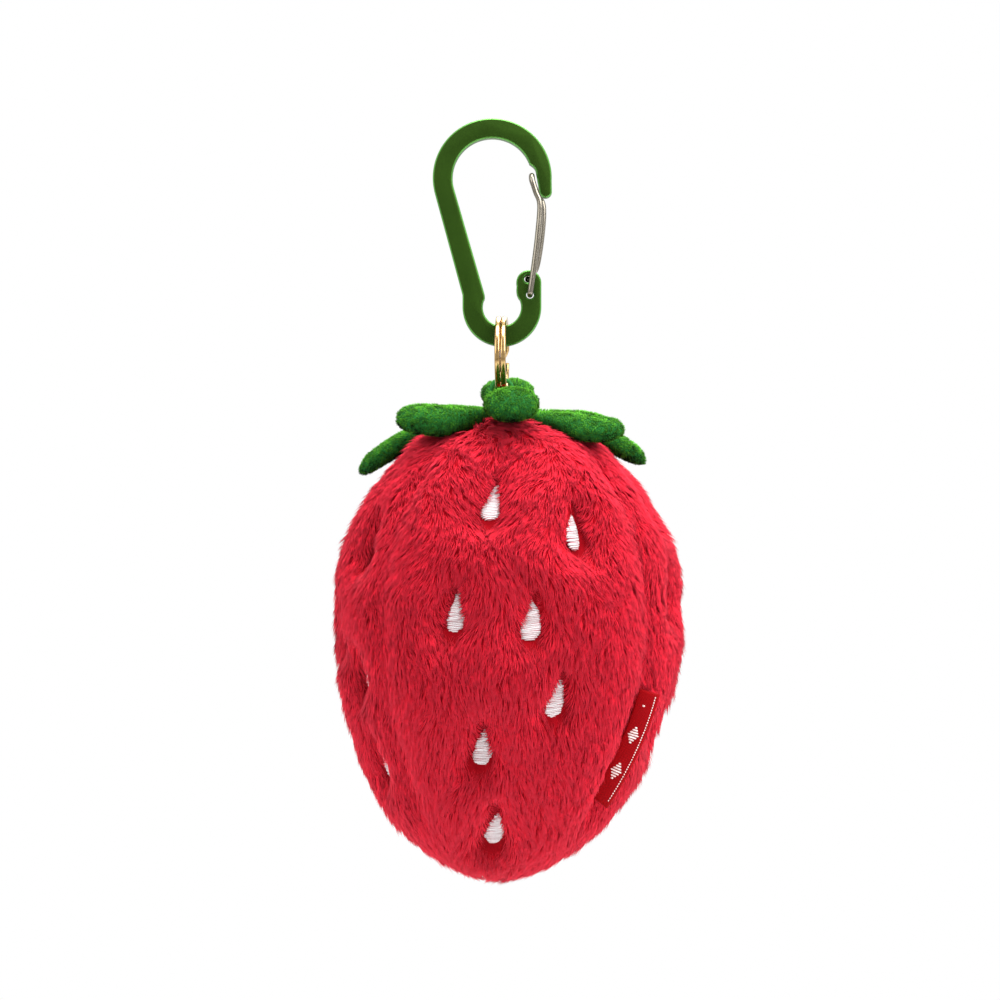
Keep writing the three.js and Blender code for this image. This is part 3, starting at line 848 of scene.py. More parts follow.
def buildFur(skin, tree):
    strand = strandTemplate("furStrand", coat["length"], coat["radius"], coat["rootLift"], coat["tipLift"])
    material = pileMaterial("redFur", furLook, Roughness=0.75, Specular_IOR_Level=0.1,
                            Sheen_Weight=0.10, Sheen_Roughness=0.5, Sheen_Tint=(1.0, 0.45, 0.52, 1))
    backing = skinMaterial()
    fine = refined(skin, "fineSkin", 2)
    combFields(fine, coat["length"])
    combFields(skin, coat["length"])
    for number, side in enumerate(sides):
        cloth = splitByPanel(skin, side)
        cloth.data.materials.append(backing)
        wall = cloth.modifiers.new("wall", "SOLIDIFY")
        wall.thickness = coat["wall"]
        wall.offset = -1
        finished = fitted(plainCopy(cloth, side + "_panel_backing"), "plush", "red_fur", side + "_panel")
        discard(cloth)
        for upper in (True, False):
            base = splitByPanel(fine, side, upper, body["widestZ"] - 4 * mm)
            fur = runNodes(f"{side}_fur_{'upper' if upper else 'lower'}", base, tree, Strand=strand,
                           Strands_per_square_metre=coat["strands"],
                           Clumps_per_square_metre=coat["clumps"], Clump_Pull=coat["clumpPull"],
                           Reach=coat["reach"], Stray=coat["stray"], Lift_Spread=coat["liftSpread"],
                           Length_Spread=coat["lengthSpread"], Seed=10 * number + (1 if upper else 2),
                           Material=material)
            discard(base)
            fitted(fur, "plush", "red_fur", side + "_panel")
            print(fur.name, len(fur.data.polygons), "faces")
    discard(fine)
    discard(strand)


def buildStage():
    look = {"distance": 0.72, "height": -74.5 * mm, "aside": -0.4 * mm, "frameWidth": 207 * mm, "sensor": 36,
            "floorDrop": 120 * mm, "floorReach": 0.58, "nearLight": 0.6, "lowLight": 0.3}
    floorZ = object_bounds()[0].z - look["floorDrop"]
    floorMaterial = newMaterial("paleFloor", Roughness=0.9, Base_Color=(0.75, 0.75, 0.75, 1))[0]
    reach = look["floorReach"]
    corners = [(-reach, -reach, floorZ), (reach, -reach, floorZ),
               (reach, reach, floorZ), (-reach, reach, floorZ)]
    meshObject("floor", corners, [(0, 1, 2, 3)], floorMaterial)
    world = bpy.data.worlds.new("studio")
    bpy.context.scene.world = world
    world.use_nodes = True
    air = NodeTree(world.node_tree)
    way = air.add("ShaderNodeTexCoord").outputs["Generated"]
    split = air.add("ShaderNodeSeparateXYZ", {0: way}).outputs
    near = air.add("ShaderNodeMapRange", {0: split[1], 1: -1.0, 2: 0.2, 3: look["nearLight"], 4: 1.0})
    low = air.add("ShaderNodeMapRange", {0: split[2], 1: -0.6, 2: -0.17, 3: look["lowLight"], 4: 1.0})
    background = world.node_tree.nodes["Background"]
    background.inputs[0].default_value = (1, 1, 1, 1)
    air.link(air.math("MULTIPLY", near.outputs[0], low.outputs[0]), background.inputs[1])
    lamps = [
        {"name": "key", "place": (0.48, -0.45, 0.32), "size": 0.6, "power": 7.0},
        {"name": "fill", "place": (-0.55, -0.5, 0.25), "size": 0.6, "power": 2.5},
        {"name": "top", "place": (0.0, -0.12, 0.45), "size": 0.4, "power": 4.0},
        {"name": "rim", "place": (0.1, 0.45, 0.45), "size": 0.5, "power": 5.0},
    ]
    target = Vector((0, 0, -90 * mm))
    for lamp in lamps:
        data = bpy.data.lights.new(lamp["name"], "AREA")
        data.shape = "DISK"
        data.size = lamp["size"]
        data.energy = lamp["power"]
        thing = linked(lamp["name"], data)
        thing.location = lamp["place"]
        thing.rotation_mode = "QUATERNION"
        thing.rotation_quaternion = (target - Vector(lamp["place"])).to_track_quat("-Z", "Y")
    lens = bpy.data.cameras.new("camera")
    lens.sensor_width = look["sensor"]
    lens.lens = look["sensor"] * look["distance"] / look["frameWidth"]
    lens.clip_start = 0.01
    lens.clip_end = 20
    camera = linked("camera", lens)
    camera.location = (look["aside"], -look["distance"], look["height"])
    camera.rotation_euler = (math.pi / 2, 0, 0)
    bpy.context.scene.camera = camera
    bpy.context.scene.view_settings.view_transform = "Standard"
    print("stage set")


# One stitch of thread: a low arch of unit half length, stretched to size where it is laid.
def threadTemplate(name, thickness, depth):
    columns, corners, footDrop = 7, 5, 0.12
    points = []
    for column in range(columns + 1):
        angle = math.pi * (1 - column / columns)
        for corner in range(corners):
            around = 2 * math.pi * corner / corners
            reach = 1 + depth * math.sin(around)
            points.append((math.cos(angle) * reach, thickness * math.cos(around),
                           math.sin(angle) * reach - footDrop))
    return facingOut(meshObject(name, points, loftFaces(columns + 1, corners)))


def stitchTree():
    tree = bpy.data.node_groups.new("stitchLayer", "GeometryNodeTree")
    for label, kind in [("Rows", "NodeSocketGeometry"), ("Thread", "NodeSocketObject"),
                        ("Material", "NodeSocketMaterial")]:
        tree.interface.new_socket(name=label, in_out="INPUT", socket_type=kind)
    tree.interface.new_socket(name="Stitches", in_out="OUTPUT", socket_type="NodeSocketGeometry")
    nodes = NodeTree(tree)
    given = nodes.add("NodeGroupInput").outputs

    def vectorField(name):
        named = nodes.add("GeometryNodeInputNamedAttribute", {"Name": name}, data_type="FLOAT_VECTOR")
        return named.outputs["Attribute"]

    upright = nodes.add("FunctionNodeAlignRotationToVector", {"Vector": vectorField("out")}, axis="Z")
    towards = {"Rotation": upright.outputs[0], "Vector": vectorField("heading")}
    turned = nodes.add("FunctionNodeAlignRotationToVector", towards, axis="X", pivot_axis="Z")
    thread = nodes.add("GeometryNodeObjectInfo", {"Object": given["Thread"]}, transform_space="ORIGINAL")
    placed = nodes.add("GeometryNodeInstanceOnPoints",
                       {"Points": given["Rows"], "Instance": thread.outputs["Geometry"],
                        "Rotation": turned.outputs[0], "Scale": vectorField("size")})
    chance = nodes.add("FunctionNodeRandomValue", {"Seed": 5}, data_type="FLOAT")
    finishTree(nodes, placed.outputs[0], [("tint", enabled(chance.outputs), "FLOAT")], given["Material"])
    return tree


def layStitches(name, rows, thread, tree, material):
    base = meshObject(name + "Rows", [row["place"] for row in rows], [])
    for label in ("out", "heading", "size"):
        storeField(base.data, label, np.array([tuple(row[label]) for row in rows]))
    stitched = runNodes(name, base, tree, Thread=thread, Material=material)
    discard(base)
    return stitched


def seedWidthAt(share):
    bulbShare = seedShape["bulb"] / seedShape["length"] * 1.25
    if share < bulbShare:
        return seedShape["bulb"] * math.sqrt(max(0.0, 1 - (1 - share / bulbShare) ** 2))
    rise = (share - bulbShare) / (1 - bulbShare)
    return seedShape["bulb"] * (1 - rise ** 1.7)


def buildSeeds(skin, tree):
    settings = {"rowStep": 0.36 * mm, "bulge": 0.75 * mm, "slant": 0.12, "ragged": 0.13, "sink": 0.25 * mm,
                "probe": 20 * mm}
    thread = threadTemplate("seedThread", 0.17 * mm, 0.10)
    # The white thread's darker tone is tinted pink: painted reflection of the red fur.
    material = threadMaterial("seedThread", (0.64, 0.62, 0.63, 1), (0.45, 0.37, 0.38, 1))
    padMaterial = threadMaterial("seedPadding", (0.50, 0.20, 0.23, 1), (0.42, 0.10, 0.13, 1), 0.8)
    random = np.random.default_rng(21)

    def onSkin(azimuth, z):
        start = Vector(((body["halfWidth"] + settings["probe"]) * math.sin(azimuth) + body["centreX"],
                        -(body["halfDepth"] + settings["probe"]) * math.cos(azimuth), z))
        aim = Vector((float(centreAt(np.array(z))), 0, z))
        _, place, normal, _ = skin.ray_cast(start, (aim - start).normalized())
        return place, normal

    for side in sides:
        rows = []
        pads = []
        for seed in [one for one in seeds if one["side"] == side]:
            centre, normal = onSkin(seed["azimuth"], seed["z"])
            across = Vector((math.cos(seed["azimuth"]), math.sin(seed["azimuth"]), 0))
            across = (across - normal * across.dot(normal)).normalized()
            upward = normal.cross(across).normalized()
            up = upward if upward.z > 0 else -upward
            length = seedShape["length"]
            count = int(length / settings["rowStep"])
            ring = []
            for index in range(count + 1):
                share = index / count
                width = seedWidthAt(share)
                lean = seedShape["lean"] * (share - 0.4) * length * 1.2
                place = centre + up * (share - 0.5) * length + across * lean
                bulge = settings["bulge"] * (width / seedShape["bulb"]) ** 0.5
                rough = 1 + settings["ragged"] * float(random.uniform(-1, 0.6))
                heading = across + up * settings["slant"] * float(random.uniform(0.3, 1.5))
                shift = across * float(random.uniform(-0.12, 0.12)) * mm
                if width > 0.25 * mm:
                    rows.append({"place": place + shift - normal * settings["sink"], "out": normal,
                                 "heading": heading, "size": (width * rough, 1, bulge)})
                ring.append((place, max(width, 0.12 * mm), bulge))
            pads.append(padLoft(ring, across, normal, settings["sink"]))
        stitched = layStitches(side + "_seed_threads", rows, thread, tree, material)
        padding = joined(side + "_seed_padding", pads, padMaterial)
        names = [f"{side}_seed_{number}" for number in range(1, 8)]
        for piece in (stitched, padding):
            fitted(piece, "plush", "white_thread", *names)
    discard(thread)
    print("seeds stitched")


# The padding below one seed's threads: an arch over a narrow keel that reaches into the skin.
def padLoft(ring, across, normal, sink):
    arc, keelDepth = 8, 0.9 * mm
    points = []
    for place, width, bulge in ring:
        for step in range(arc + 1):
            angle = math.pi * (1 - step / arc)
            points.append(place + across * width * 0.9 * math.cos(angle)
                          + normal * (bulge * 0.82 * math.sin(angle) - sink))
        points.append(place + across * width * 0.5 - normal * keelDepth)
        points.append(place - across * width * 0.5 - normal * keelDepth)
    return points, loftFaces(len(ring), arc + 3)


def joined(name, shapes, material):
    points = []
    faces = []
    for shapePoints, shapeFaces in shapes:
        start = len(points)
        points.extend(shapePoints)
        faces.extend([tuple(start + index for index in face) for face in shapeFaces])
    return facingOut(meshObject(name, points, faces, material))


leafShape = {
    "width": 10.8 * mm,
    "rootWidth": 3.6 * mm,
    "rootRadius": 4.2 * mm,
    "rootZ": -57.6 * mm,
    "puff": 2.7 * mm,
    "pile": 0.75 * mm,
}
# Azimuth and roll are in degrees. Crown and tip are the distance out and the height, in millimetres.
leafArcs = {
    "leaf_front": {"azimuth": 2, "crown": (12.5, -52.0), "tip": (22.4, -57.6), "roll": 0,
                   "tipWidth": 7.6 * mm, "puff": 1.1, "crease": 0.0},
    "leaf_right_front": {"azimuth": 60, "crown": (15, -58.9), "tip": (26.6, -60.9), "roll": 20,
                         "tipWidth": 3.4 * mm, "puff": 0.88, "crease": 0.45 * mm},
    "leaf_right_back": {"azimuth": 108, "crown": (19, -58.4), "tip": (29.8, -66.8), "roll": 12,
                        "tipWidth": 3.0 * mm, "puff": 0.8, "crease": 0.3 * mm},
    "leaf_back": {"azimuth": 181, "crown": (10.5, -49.4), "tip": (20.7, -52.5), "roll": 0,
                  "tipWidth": 3.4 * mm, "puff": 1.0, "crease": 0.3 * mm},
    "leaf_left_back": {"azimuth": -106, "crown": (20, -58.4), "tip": (32.3, -68.9), "roll": -12,
                       "tipWidth": 3.0 * mm, "puff": 0.8, "crease": 0.45 * mm},
    "leaf_left_front": {"azimuth": -57, "crown": (15, -57.8), "tip": (26.6, -58.6), "roll": -22,
                        "tipWidth": 4.2 * mm, "puff": 1.1, "crease": 0.3 * mm},
}


def leafBase(name, arc):
    columns, rows = 28, 30
    azimuth = math.radians(arc["azimuth"])
    away = Vector((math.sin(azimuth), -math.cos(azimuth), 0))
    across = Vector((math.cos(azimuth), math.sin(azimuth), 0))
    crown = Vector(arc["crown"]) * mm
    tip = Vector(arc["tip"]) * mm
    root = Vector((leafShape["rootRadius"], leafShape["rootZ"]))
    points = []
    for row in range(rows + 1):
        share = row / rows
        spot = root * (1 - share) ** 2 + crown * 2 * share * (1 - share) + tip * share * share
        run = ((crown - root) * (1 - share) + (tip - crown) * share).normalized()
        lift = Vector((0, 0, 1)) * run.x - away * run.y
        centre = Vector((body["centreX"], 0, spot.y)) + away * spot.x
        end = leafShape["rootWidth"] * (1 - share) + arc["tipWidth"] * share
        swell = math.sin(math.pi * 0.94 * share ** 1.15)
        halfWidth = end / 2 + (leafShape["width"] / 2 - end / 2) * swell
        close = math.sqrt(max(0.0, 1 - max(0.0, (share - 0.86) / 0.14) ** 2))
        halfWidth *= max(close, 0.05)
        puff = leafShape["puff"] * arc["puff"] * (0.6 + 0.4 * swell) * max(close, 0.05)
        roll = math.radians(arc["roll"]) * share
        sideways = across * math.cos(roll) + lift * math.sin(roll)
        upward = lift * math.cos(roll) - across * math.sin(roll)
        for column in range(columns):
            angle = 2 * math.pi * column / columns
            reach = math.cos(angle)
            height = math.sin(angle)
            height = math.copysign(abs(height) ** 0.8, height) * puff
            fold = math.exp(-(reach / 0.13) ** 2) * arc["crease"] * min(1, swell * 1.3)
            height -= math.copysign(fold, height)
            flat = centre + sideways * reach * halfWidth
            wobble = noise.noise(flat * 130 + Vector((azimuth * 3, 0, 0))) * 0.5 * mm
            points.append(flat + upward * (height + wobble))
    leaf = facingOut(meshObject(name + "_cloth", points, loftFaces(rows + 1, columns)))
    places = pointsOf(leaf.data)
    normals = normalsOf(leaf.data)
    outwards = np.tile(np.array(away), (len(places), 1))
    swirl = np.array([noise.noise(Vector(place) * 260) for place in places])
    aside = np.cross(normals, outwards)
    comb = outwards + aside * swirl[:, None] * 1.2
    storeField(leaf.data, "comb", comb)
    storeField(leaf.data, "pile", np.ones(len(places)))
    storeField(leaf.data, "growth", np.ones(len(places)))
    storeField(leaf.data, "raise", swirl * 0.4)
    return leaf


# Green pile: the dark root and light tip are painted shade and painted highlight along each strand, and the
# top-light gain paints leaf tops lighter and undersides darker.
leafLook = {
    "root": (0.006, 0.035, 0.002, 1),
    "middle": (0.018, 0.095, 0.006, 1),
    "tip": (0.068, 0.225, 0.018, 1),
    "strandSpread": 0.7,
    "clumpSpread": 1.1,
    "softness": 0.5,
    "paintedTopLight": 0.65,
    "patchSpread": 3.0,
    "patchScale": 420.0,
}


def buildLeaves(tree):
    settings = {"strands": 1.2e7, "clumps": 9e5, "radius": 0.09 * mm, "rootLift": math.radians(72),
                "tipLift": math.radians(38), "pull": 0.2, "reach": 0.7 * mm, "stray": 0.35 * mm}
    strand = strandTemplate("pileStrand", leafShape["pile"], settings["radius"],
                            settings["rootLift"], settings["tipLift"])
    pile = pileMaterial("greenPile", leafLook, Roughness=0.75, Specular_IOR_Level=0.05,
                        Sheen_Weight=0.02, Sheen_Roughness=0.4, Sheen_Tint=(0.6, 1.0, 0.4, 1))
    cloth = clothMaterial("leafCloth", (0.006, 0.05, 0.008, 1), (0.014, 0.12, 0.02, 1))
    bases = [(name, leafBase(name, arc), [name + "_upper_ply", name + "_lower_ply"])
             for name, arc in leafArcs.items()]
    bases.append(("calyx_disc", discBase(), ["calyx_disc"]))
    for number, (name, base, nodeNames) in enumerate(bases):
        fur = runNodes(name + "_pile", base, tree, Strand=strand,
                       Strands_per_square_metre=settings["strands"],
                       Clumps_per_square_metre=settings["clumps"], Clump_Pull=settings["pull"],
                       Reach=settings["reach"], Stray=settings["stray"], Lift_Spread=0.3,
                       Length_Spread=0.2, Seed=70 + number, Material=pile)
        base.data.materials.append(cloth)
        for piece in (base, fur):
            fitted(piece, "plush", "green_plush", *nodeNames)
    discard(strand)
    print("leaves grown")


def discBase():
    columns, rows = 32, 9
    low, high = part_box("calyx_disc")
    radius = (high.x - low.x) / 2
    middle = (low + high) / 2
    points = []
    for row in range(1, rows):
        angle = math.pi * row / rows
        reach = radius * math.sin(angle) ** 0.5
        flat = math.copysign(abs(math.cos(angle)) ** 1.6, math.cos(angle))
        for x, y in roundSection(reach, columns):
            points.append((middle.x + x, y, middle.z + flat * (high.z - low.z) * 0.45))
    disc = facingOut(meshObject("calyx_disc_cloth", points, loftFaces(rows - 1, columns)))
    count = len(disc.data.vertices)
    storeField(disc.data, "comb", np.tile(np.array([0.3, -1.0, 0.0]), (count, 1)))
    for label in ("pile", "growth"):
        storeField(disc.data, label, np.ones(count))
    storeField(disc.data, "raise", np.zeros(count))
    return disc


plate = {
    "thickness": 4.0, "chamfer": 0.55, "bowInner": 8.2, "bowOuter": 12.3, "bowX": -2.0,
    "eyeInner": 3.95, "eyeOuter": 8.15, "eyeZ": -34.6, "boss": 2.6, "bossZ": -29.6,
    "spineTilt": math.radians(15), "lowerHole": (5.8, -32.1), "upperHole": (5.4, -28.8), "hole": 0.8,
    "nose": (9.05, -10.75), "noseRadius": 1.3,
}
plate["bowZ"] = -math.sqrt(plate["bowInner"] ** 2 - plate["bowX"] ** 2)


def arcPoints(centre, radius, start, end, step=0.35):
    count = max(3, int(abs(end - start) * radius / step))
    angles = [start + (end - start) * index / count for index in range(count + 1)]
    return [(centre[0] + radius * math.cos(angle), centre[1] + radius * math.sin(angle)) for angle in angles]


def curvePoints(start, bend, end, count=8):
    points = []
    for index in range(1, count):
        t = index / count
        points.append(tuple(start[axis] * (1 - t) ** 2 + bend[axis] * 2 * t * (1 - t) + end[axis] * t * t
                            for axis in range(2)))
    return points


def plateOutline():
    bow = (plate["bowX"], plate["bowZ"])
    eye = (0.0, plate["eyeZ"])
    tangent = math.pi + plate["spineTilt"]
    boss = (plate["eyeOuter"] - plate["boss"], plate["bossZ"])
    outline = arcPoints(bow, plate["bowOuter"], math.radians(-3), tangent)
    outline += [(-plate["eyeOuter"] - 0.02, -32.1), (-plate["eyeOuter"], -32.9)]
    outline += arcPoints(eye, plate["eyeOuter"], math.pi, 2 * math.pi)
    bossArc = arcPoints(boss, plate["boss"], 0, math.radians(195))
    outline += bossArc
    eyeArc = arcPoints(eye, plate["eyeInner"], math.radians(20), math.radians(-197))
    outline += curvePoints(bossArc[-1], (2.75, -32.2), eyeArc[0])
    outline += eyeArc
    outline += curvePoints(eyeArc[-1], (-3.3, -32.9), (-3.7, -31.6))
    outline.append((-3.7, -31.6))
    innerArc = arcPoints(bow, plate["bowInner"], tangent, math.radians(20))
    outline += innerArc
    outline += curvePoints(innerArc[-1], (7, -5.9), (7.05, -6.9))
    outline += [(7.05, -6.9), (7.25, -8.0)]
    outline += arcPoints(plate["nose"], plate["noseRadius"], math.radians(195), math.radians(350))
    kept = []
    for point in outline:
        if all(math.dist(point, other) > 0.2 for other in kept):
            kept.append(point)
    return kept


def anodisedMaterial():
    # face is the dark anodised green; rim is a lighter green painted highlight laid on the chamfers and,
    # faintly, the walls.
    look = {"face": (0.020, 0.055, 0.003, 1), "rim": (0.095, 0.30, 0.050, 1)}
    material, nodes, shader = newMaterial("anodisedGreen", Metallic=0.9,
                                          Coat_Weight=0.06, Coat_Roughness=0.25)
    grain = grained(nodes, scale=1800.0, detail=4.0, strength=0.15, height=0.03 * mm)
    place = nodes.add("ShaderNodeTexCoord").outputs["Object"]
    cloud = nodes.add("ShaderNodeTexNoise", {"Vector": place, "Scale": 160.0, "Detail": 2.0}).outputs["Fac"]
    rim = nodes.add("ShaderNodeAttribute", attribute_name="rim").outputs["Fac"]
    mixed = nodes.add("ShaderNodeMix", {0: rim, 6: look["face"], 7: look["rim"]}, data_type="RGBA")
    value = nodes.math("ADD", nodes.math("MULTIPLY", cloud, 0.3), 0.85)
    shade = nodes.add("ShaderNodeHueSaturation", {"Value": value, "Color": mixed.outputs[2]})
    rough = nodes.math("ADD", nodes.math("MULTIPLY", grain["grain"], 0.16), 0.38)
    paint(nodes, shader, Base_Color=shade.outputs[0], Roughness=rough, Normal=grain["normal"])
    return material


def buildCarabiner():
    outline = plateOutline()
    half = plate["thickness"] / 2
    bm = bmesh.new()
    front = [bm.verts.new((x * mm, -half * mm, z * mm)) for x, z in outline]
    face = bm.faces.new(front)
    extruded = bmesh.ops.extrude_face_region(bm, geom=[face])
    moved = [part for part in extruded["geom"] if isinstance(part, bmesh.types.BMVert)]
    bmesh.ops.translate(bm, verts=moved, vec=(0, plate["thickness"] * mm, 0))
    bmesh.ops.recalc_face_normals(bm, faces=bm.faces)
    rims = [edge for edge in bm.edges if abs(edge.verts[0].co.y - edge.verts[1].co.y) < 1e-6]
    bmesh.ops.bevel(bm, geom=rims, offset=plate["chamfer"] * mm, segments=3, profile=0.5,
                    affect="EDGES", clamp_overlap=True)
    mesh = bpy.data.meshes.new("carabiner_plate")
    bm.to_mesh(mesh)
    bm.free()
    blank = linked("carabiner_blank", mesh)
    drills = []
    for x, z in (plate["lowerHole"], plate["upperHole"]):
        drills.append(drillAt(x, z))
        cut = blank.modifiers.new("hole", "BOOLEAN")
        cut.operation = "DIFFERENCE"
        cut.solver = "EXACT"
        cut.object = drills[-1]
    finished = fitted(plainCopy(blank, "carabiner_plate"), "carabiner", "anodised_green", "carabiner_body")
    for spent in [blank] + drills:
        discard(spent)
    # The chamfer is marked 1, the walls a little and the flat faces not at all; the mark paints a lighter
    # green highlight there.
    steep = np.abs([polygon.normal.y for polygon in finished.data.polygons])
    layer = finished.data.attributes.new("rim", "FLOAT", "FACE")
    paintedHighlightMarks = np.where(steep > 0.96, 0.0, np.where(steep > 0.2, 1.0, 0.2))
    layer.data.foreach_set("value", paintedHighlightMarks.astype(np.float32))
    finished.data.shade_smooth()
    finished.data.set_sharp_from_angle(angle=math.radians(28))
    finished.data.materials.clear()
    finished.data.materials.append(anodisedMaterial())
    print("carabiner cut")


def drillAt(x, z):
    corners, depth, flare, wide = 28, plate["thickness"], 0.35, 1.2
    profile = [(wide, depth), (flare, depth / 2 + 0.02), (0, depth / 2 - flare),
               (0, -depth / 2 + flare), (flare, -depth / 2 - 0.02), (wide, -depth)]
    points = []
    for extra, y in profile:
        for u, v in roundSection(plate["hole"] + extra, corners):
            points.append(((x + u) * mm, y * mm, (z + v) * mm))
    return facingOut(meshObject("drill", points, loftFaces(len(profile), corners)))


# A section swept along a route. An axis, where one is given, keeps the section from turning.
def sweep(name, route, section, material, axis=None):
    points = []
    side = None
    for index, place in enumerate(route):
        run = (route[min(index + 1, len(route) - 1)] - route[max(index - 1, 0)]).normalized()
        if axis is not None:
            side = (axis - run * axis.dot(run)).normalized()
        elif side is None:
            side = run.orthogonal().normalized()
        else:
            side = (side - run * side.dot(run)).normalized()
        other = run.cross(side)
        points.extend([place + side * u + other * v for u, v in section])
    return facingOut(meshObject(name, points, loftFaces(len(route), len(section)), material))


def smoothRoute(points, steps):
    ends = [points[0] * 2 - points[1]] + points + [points[-1] * 2 - points[-2]]
    route = []
    for index in range(1, len(ends) - 2):
        a, b, c, d = ends[index - 1:index + 3]
        for step in range(steps):
            t = step / steps
            route.append(0.5 * (b * 2 + (c - a) * t + (a * 2 - b * 5 + c * 4 - d) * t * t
                                + (b * 3 - a - c * 3 + d) * t ** 3))
    route.append(points[-1])
    return route


def buildGate():
    wire = {"radius": 0.6, "legY": 2.95, "turn": 1.15, "bend": 0.28,
            "backShift": (0.5, 0.85, 0.75, 0.45, 0.15)}
    lower, upper = plate["lowerHole"], plate["upperHole"]
    leg = [(6.6, -26.4), (7.4, -19.9), (7.85, -13.7), (7.0, -11.0), (6.3, -8.7)]
    y, turn, bend = wire["legY"], wire["turn"], wire["bend"]
    front = [(lower[0], -0.5, lower[1]), (lower[0], -y + turn, lower[1]),
             (lower[0] + 0.02, -y + bend, lower[1] + bend), (lower[0] + 0.12, -y, lower[1] + turn)]
    front += [(x, -y, z) for x, z in leg]
    front += [(6.17, -y * 0.87, -7.78), (6.15, -y * 0.55, -7.52), (6.15, 0, -7.5)]
    back = [(6.15, 0, -7.5), (6.15, y * 0.55, -7.52), (6.17, y * 0.87, -7.78)]
    back += [(x + shift, y, z) for (x, z), shift in reversed(list(zip(leg, wire["backShift"])))]
    back += [(upper[0] + 0.12, y, upper[1] + turn), (upper[0] + 0.02, y - bend, upper[1] + bend),
             (upper[0], y - turn, upper[1]), (upper[0], 0.5, upper[1])]
    material = metalMaterial("steelWire", (0.30, 0.27, 0.22, 1), (0.19, 0.17, 0.135, 1), 0.20, (1, 1, 0.12))
    section = roundSection(wire["radius"] * mm, 16)
    legs = []
    for name, path in (("gate_front_leg", front), ("gate_back_leg", back)):
        route = smoothRoute([Vector(point) * mm for point in path], 8)
        legs.append(sweep(name, route, section, material))
    frontLeg, backLeg = legs
    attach(frontLeg, "gate")
    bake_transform(backLeg)
    for piece in legs:
        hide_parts("wire_gate")
    print("gate bent")


def buildRing():
    low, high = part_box("split_ring")
    centre = (low + high) / 2
    shape = {"outer": 8.0, "inner": 6.6, "width": 1.12, "pitch": 1.2, "gap": 0.035, "turn": math.radians(-3)}
    middle = (shape["outer"] + shape["inner"]) / 2
    half = (shape["outer"] - shape["inner"]) / 2
    route = []
    steps = 260
    for index in range(steps + 1):
        turns = shape["gap"] + (2 - 2 * shape["gap"]) * index / steps
        across = float(smooth(np.array(turns), 1 - shape["gap"], 1 + shape["gap"])) - 0.5
        angle = 2 * math.pi * turns
        place = Vector((across * shape["pitch"], middle * math.cos(angle), middle * math.sin(angle)))
        place.rotate(Matrix.Rotation(shape["turn"], 3, "Z"))
        route.append(Vector((0, 0, centre.z)) + place * mm)
    corner = 0.38
    section = []
    for cornerIndex, (u, v) in enumerate([(1, 1), (-1, 1), (-1, -1), (1, -1)]):
        for step in range(5):
            angle = math.pi / 2 * (cornerIndex + step / 4)
            section.append(((u * (shape["width"] / 2 - corner) + corner * math.cos(angle)) * mm,
                            (v * (half - corner) + corner * math.sin(angle)) * mm))
    axis = Vector((1, 0, 0))
    axis.rotate(Matrix.Rotation(shape["turn"], 3, "Z"))
    material = metalMaterial("goldPlate", (0.62, 0.41, 0.18, 1), (0.42, 0.26, 0.10, 1), 0.12, (0.2, 1, 1))
    fitted(sweep("split_ring_coils", route, section, material, axis), "ring", "gold_plate", "split_ring")
    print("ring wound")


# A flat ribbon swept along a route. across gives the ribbon's width direction at each stop.
def ribbon(name, route, across, width, thickness, material, closedLoop=False):
    points = []
    faces = []
    uvs = []
    edge = 6
    length = 0.0
    route = [Vector(place) for place in route]
    count = len(route)
    half = thickness / 2
    reach = width / 2 - half
    columns = 8
    turns = [math.pi * step / edge for step in range(edge + 1)]
    profile = [(reach + half * math.sin(turn), -half * math.cos(turn)) for turn in turns]
    profile += [(reach - 2 * reach * (column + 1) / (columns + 1), half) for column in range(columns)]
    profile += [(-u, -v) for u, v in profile]
    size = len(profile)
    stops = []
    for index, place in enumerate(route):
        if closedLoop:
            run = (route[(index + 1) % count] - route[index - 1]).normalized()
        else:
            run = (route[min(index + 1, count - 1)] - route[max(index - 1, 0)]).normalized()
        wide = across[index] if isinstance(across, list) else across
        wide = (wide - run * wide.dot(run)).normalized()
        normal = run.cross(wide)
        points.extend([place + wide * u + normal * v for u, v in profile])
        if index:
            length += (route[index] - route[index - 1]).length
        stops.append(length)
    rows = count if closedLoop else count - 1
    for row in range(rows):
        after = (row + 1) % count
        for corner in range(size):
            b = (corner + 1) % size
            faces.append((row * size + corner, row * size + b, after * size + b, after * size + corner))
            end = stops[after] if after else length + (route[0] - route[-1]).length
            uvs.append([(profile[corner][0], stops[row]), (profile[b][0], stops[row]),
                        (profile[b][0], end), (profile[corner][0], end)])
    if not closedLoop:
        faces.append(tuple(range(size)))
        faces.append(tuple((count - 1) * size + corner for corner in range(size)))
        uvs.append([(profile[corner][0], 0) for corner in range(size)])
        uvs.append([(profile[corner][0], length) for corner in range(size)])
    strip = meshObject(name, points, faces, material)
    layer = strip.data.uv_layers.new(name="cloth")
    for polygon, places in zip(strip.data.polygons, uvs):
        for loop, place in zip(polygon.loop_indices, places):
            layer.data[loop].uv = place
    return facingOut(strip)


def buildLoop():
    low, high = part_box("hanging_loop")
    thickness = 0.8 * mm
    radius = (high.x - low.x) / 2 - thickness / 2
    topZ = high.z - thickness / 2 - radius
    bottomZ = low.z + thickness / 2 + radius
    route = []
    for centreZ, start in ((topZ, 0.0), (bottomZ, math.pi)):
        for step in range(17):
            angle = start + math.pi * step / 16
            route.append((radius * math.cos(angle), 0, centreZ + radius * math.sin(angle)))
    material = weaveMaterial("loopTape", (0.03, 0.22, 0.045, 1), (0.012, 0.10, 0.018, 1), 9000.0)
    loop = ribbon("hanging_loop_tape", route, Vector((0, 1, 0)), high.y - low.y, thickness, material, True)
    fitted(loop, "plush", "green_plush", "hanging_loop")
    print("loop sewn")


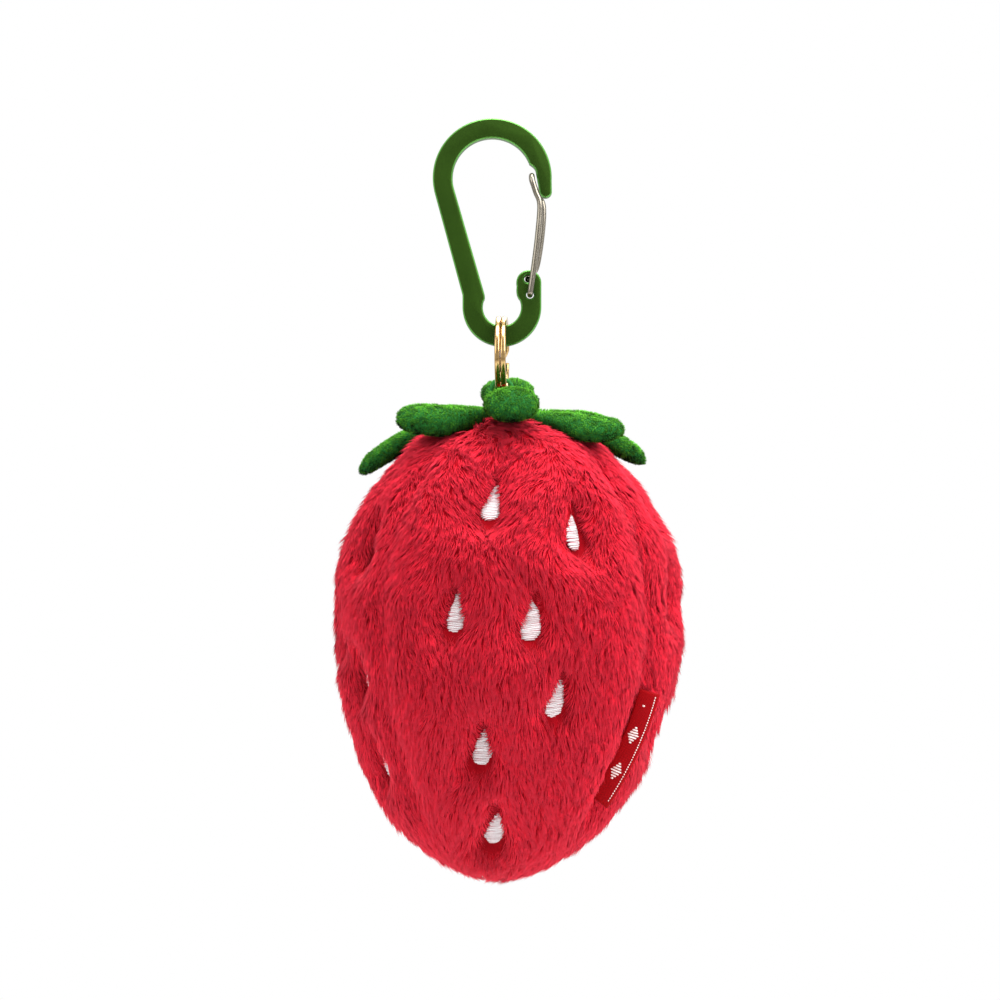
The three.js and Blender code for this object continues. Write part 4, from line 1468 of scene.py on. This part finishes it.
def buildLabel(tree):
    low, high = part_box("side_label")
    shape = {"width": 4.5 * mm, "thickness": 0.55 * mm, "rows": 40, "lean": math.radians(17)}
    red = weaveMaterial("labelWeave", (0.36, 0.001, 0.004, 1), (0.18, 0.0, 0.002, 1), 14000.0)
    white = threadMaterial("labelThread", (0.90, 0.84, 0.82, 1), (0.75, 0.62, 0.60, 1))
    route = []
    across = []
    for row in range(shape["rows"] + 1):
        share = row / shape["rows"]
        z = low.z + (high.z - low.z) * (0.02 + 0.96 * share)
        foot = bodyPlace(seamRight, z, float(shareAt(np.array(z))))
        side = seamRight + shape["lean"]
        away = Vector((math.sin(side), -math.cos(side), -0.45 + 0.30 * share)).normalized()
        route.append(foot + away * (shape["width"] / 2 - 0.9 * mm * (1 - share)))
        across.append(away)
    strip = ribbon("label_ribbon", route, across, shape["width"], shape["thickness"], red)
    fitted(strip, "plush", "red_ribbon", "side_label")
    rows = []
    count = 46
    for face in (1, -1):
        for index in range(2, count - 1):
            share = index / count
            spot = share * shape["rows"]
            place = route[int(spot)].lerp(route[min(int(spot) + 1, shape["rows"])], spot % 1)
            run = (route[min(int(spot) + 1, shape["rows"])] - route[int(spot)]).normalized()
            wide = across[int(spot)]
            normal = run.cross(wide).normalized() * face
            above = place + normal * shape["thickness"] * 0.42
            rows.append({"place": above + wide * shape["width"] * 0.36,
                         "out": normal, "heading": run, "size": (0.14 * mm, 0.55, 0.12 * mm)})
            # A row of woven diamonds: each is a few threads that widen and narrow.
            phase = abs(((index - 8) % 15) - 5) if 8 <= index <= 40 else 9
            if phase <= 3:
                size = ((1.05 - 0.27 * phase) * mm, 0.95, 0.10 * mm)
                rows.append({"place": above - wide * shape["width"] * 0.06,
                             "out": normal, "heading": wide, "size": size})
    thread = threadTemplate("labelThread", 0.2 * mm, 0.3)
    stitches = layStitches("label_stitches", rows, thread, tree, white)
    discard(thread)
    fitted(stitches, "plush", "red_ribbon", "side_label")
    print("label sewn")


def buildStuffing():
    columns, rows = 64, 48
    low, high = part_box("stuffing")
    centre = (low + high) / 2
    half = (high - low) / 2
    points = []
    for row in range(1, rows):
        angle = math.pi * row / rows
        for u, v in roundSection(math.sin(angle), columns):
            way = Vector((u, v, math.cos(angle)))
            lump = 0.9 + 0.045 * noise.noise(way * 4) + 0.02 * noise.noise(way * 14)
            points.append(centre + way * half * lump)
    fibre = clothMaterial("fibreFill", (0.70, 0.69, 0.65, 1), (0.90, 0.89, 0.86, 1), 700.0)
    filling = facingOut(meshObject("fibre_filling", points, loftFaces(rows - 1, columns), fibre))
    fitted(filling, "plush", "stuffing", "stuffing")
    print("stuffing blown in")


buildStage()
buildCarabiner()
buildGate()
buildRing()
buildLoop()
skin = buildSkin()
stitchLayer = stitchTree()
buildSeeds(skin, stitchLayer)
strandShade = strandGroup()
furGrower = furTree()
buildFur(skin, furGrower)
buildLeaves(furGrower)
buildLabel(stitchLayer)
buildStuffing()
discard(skin)
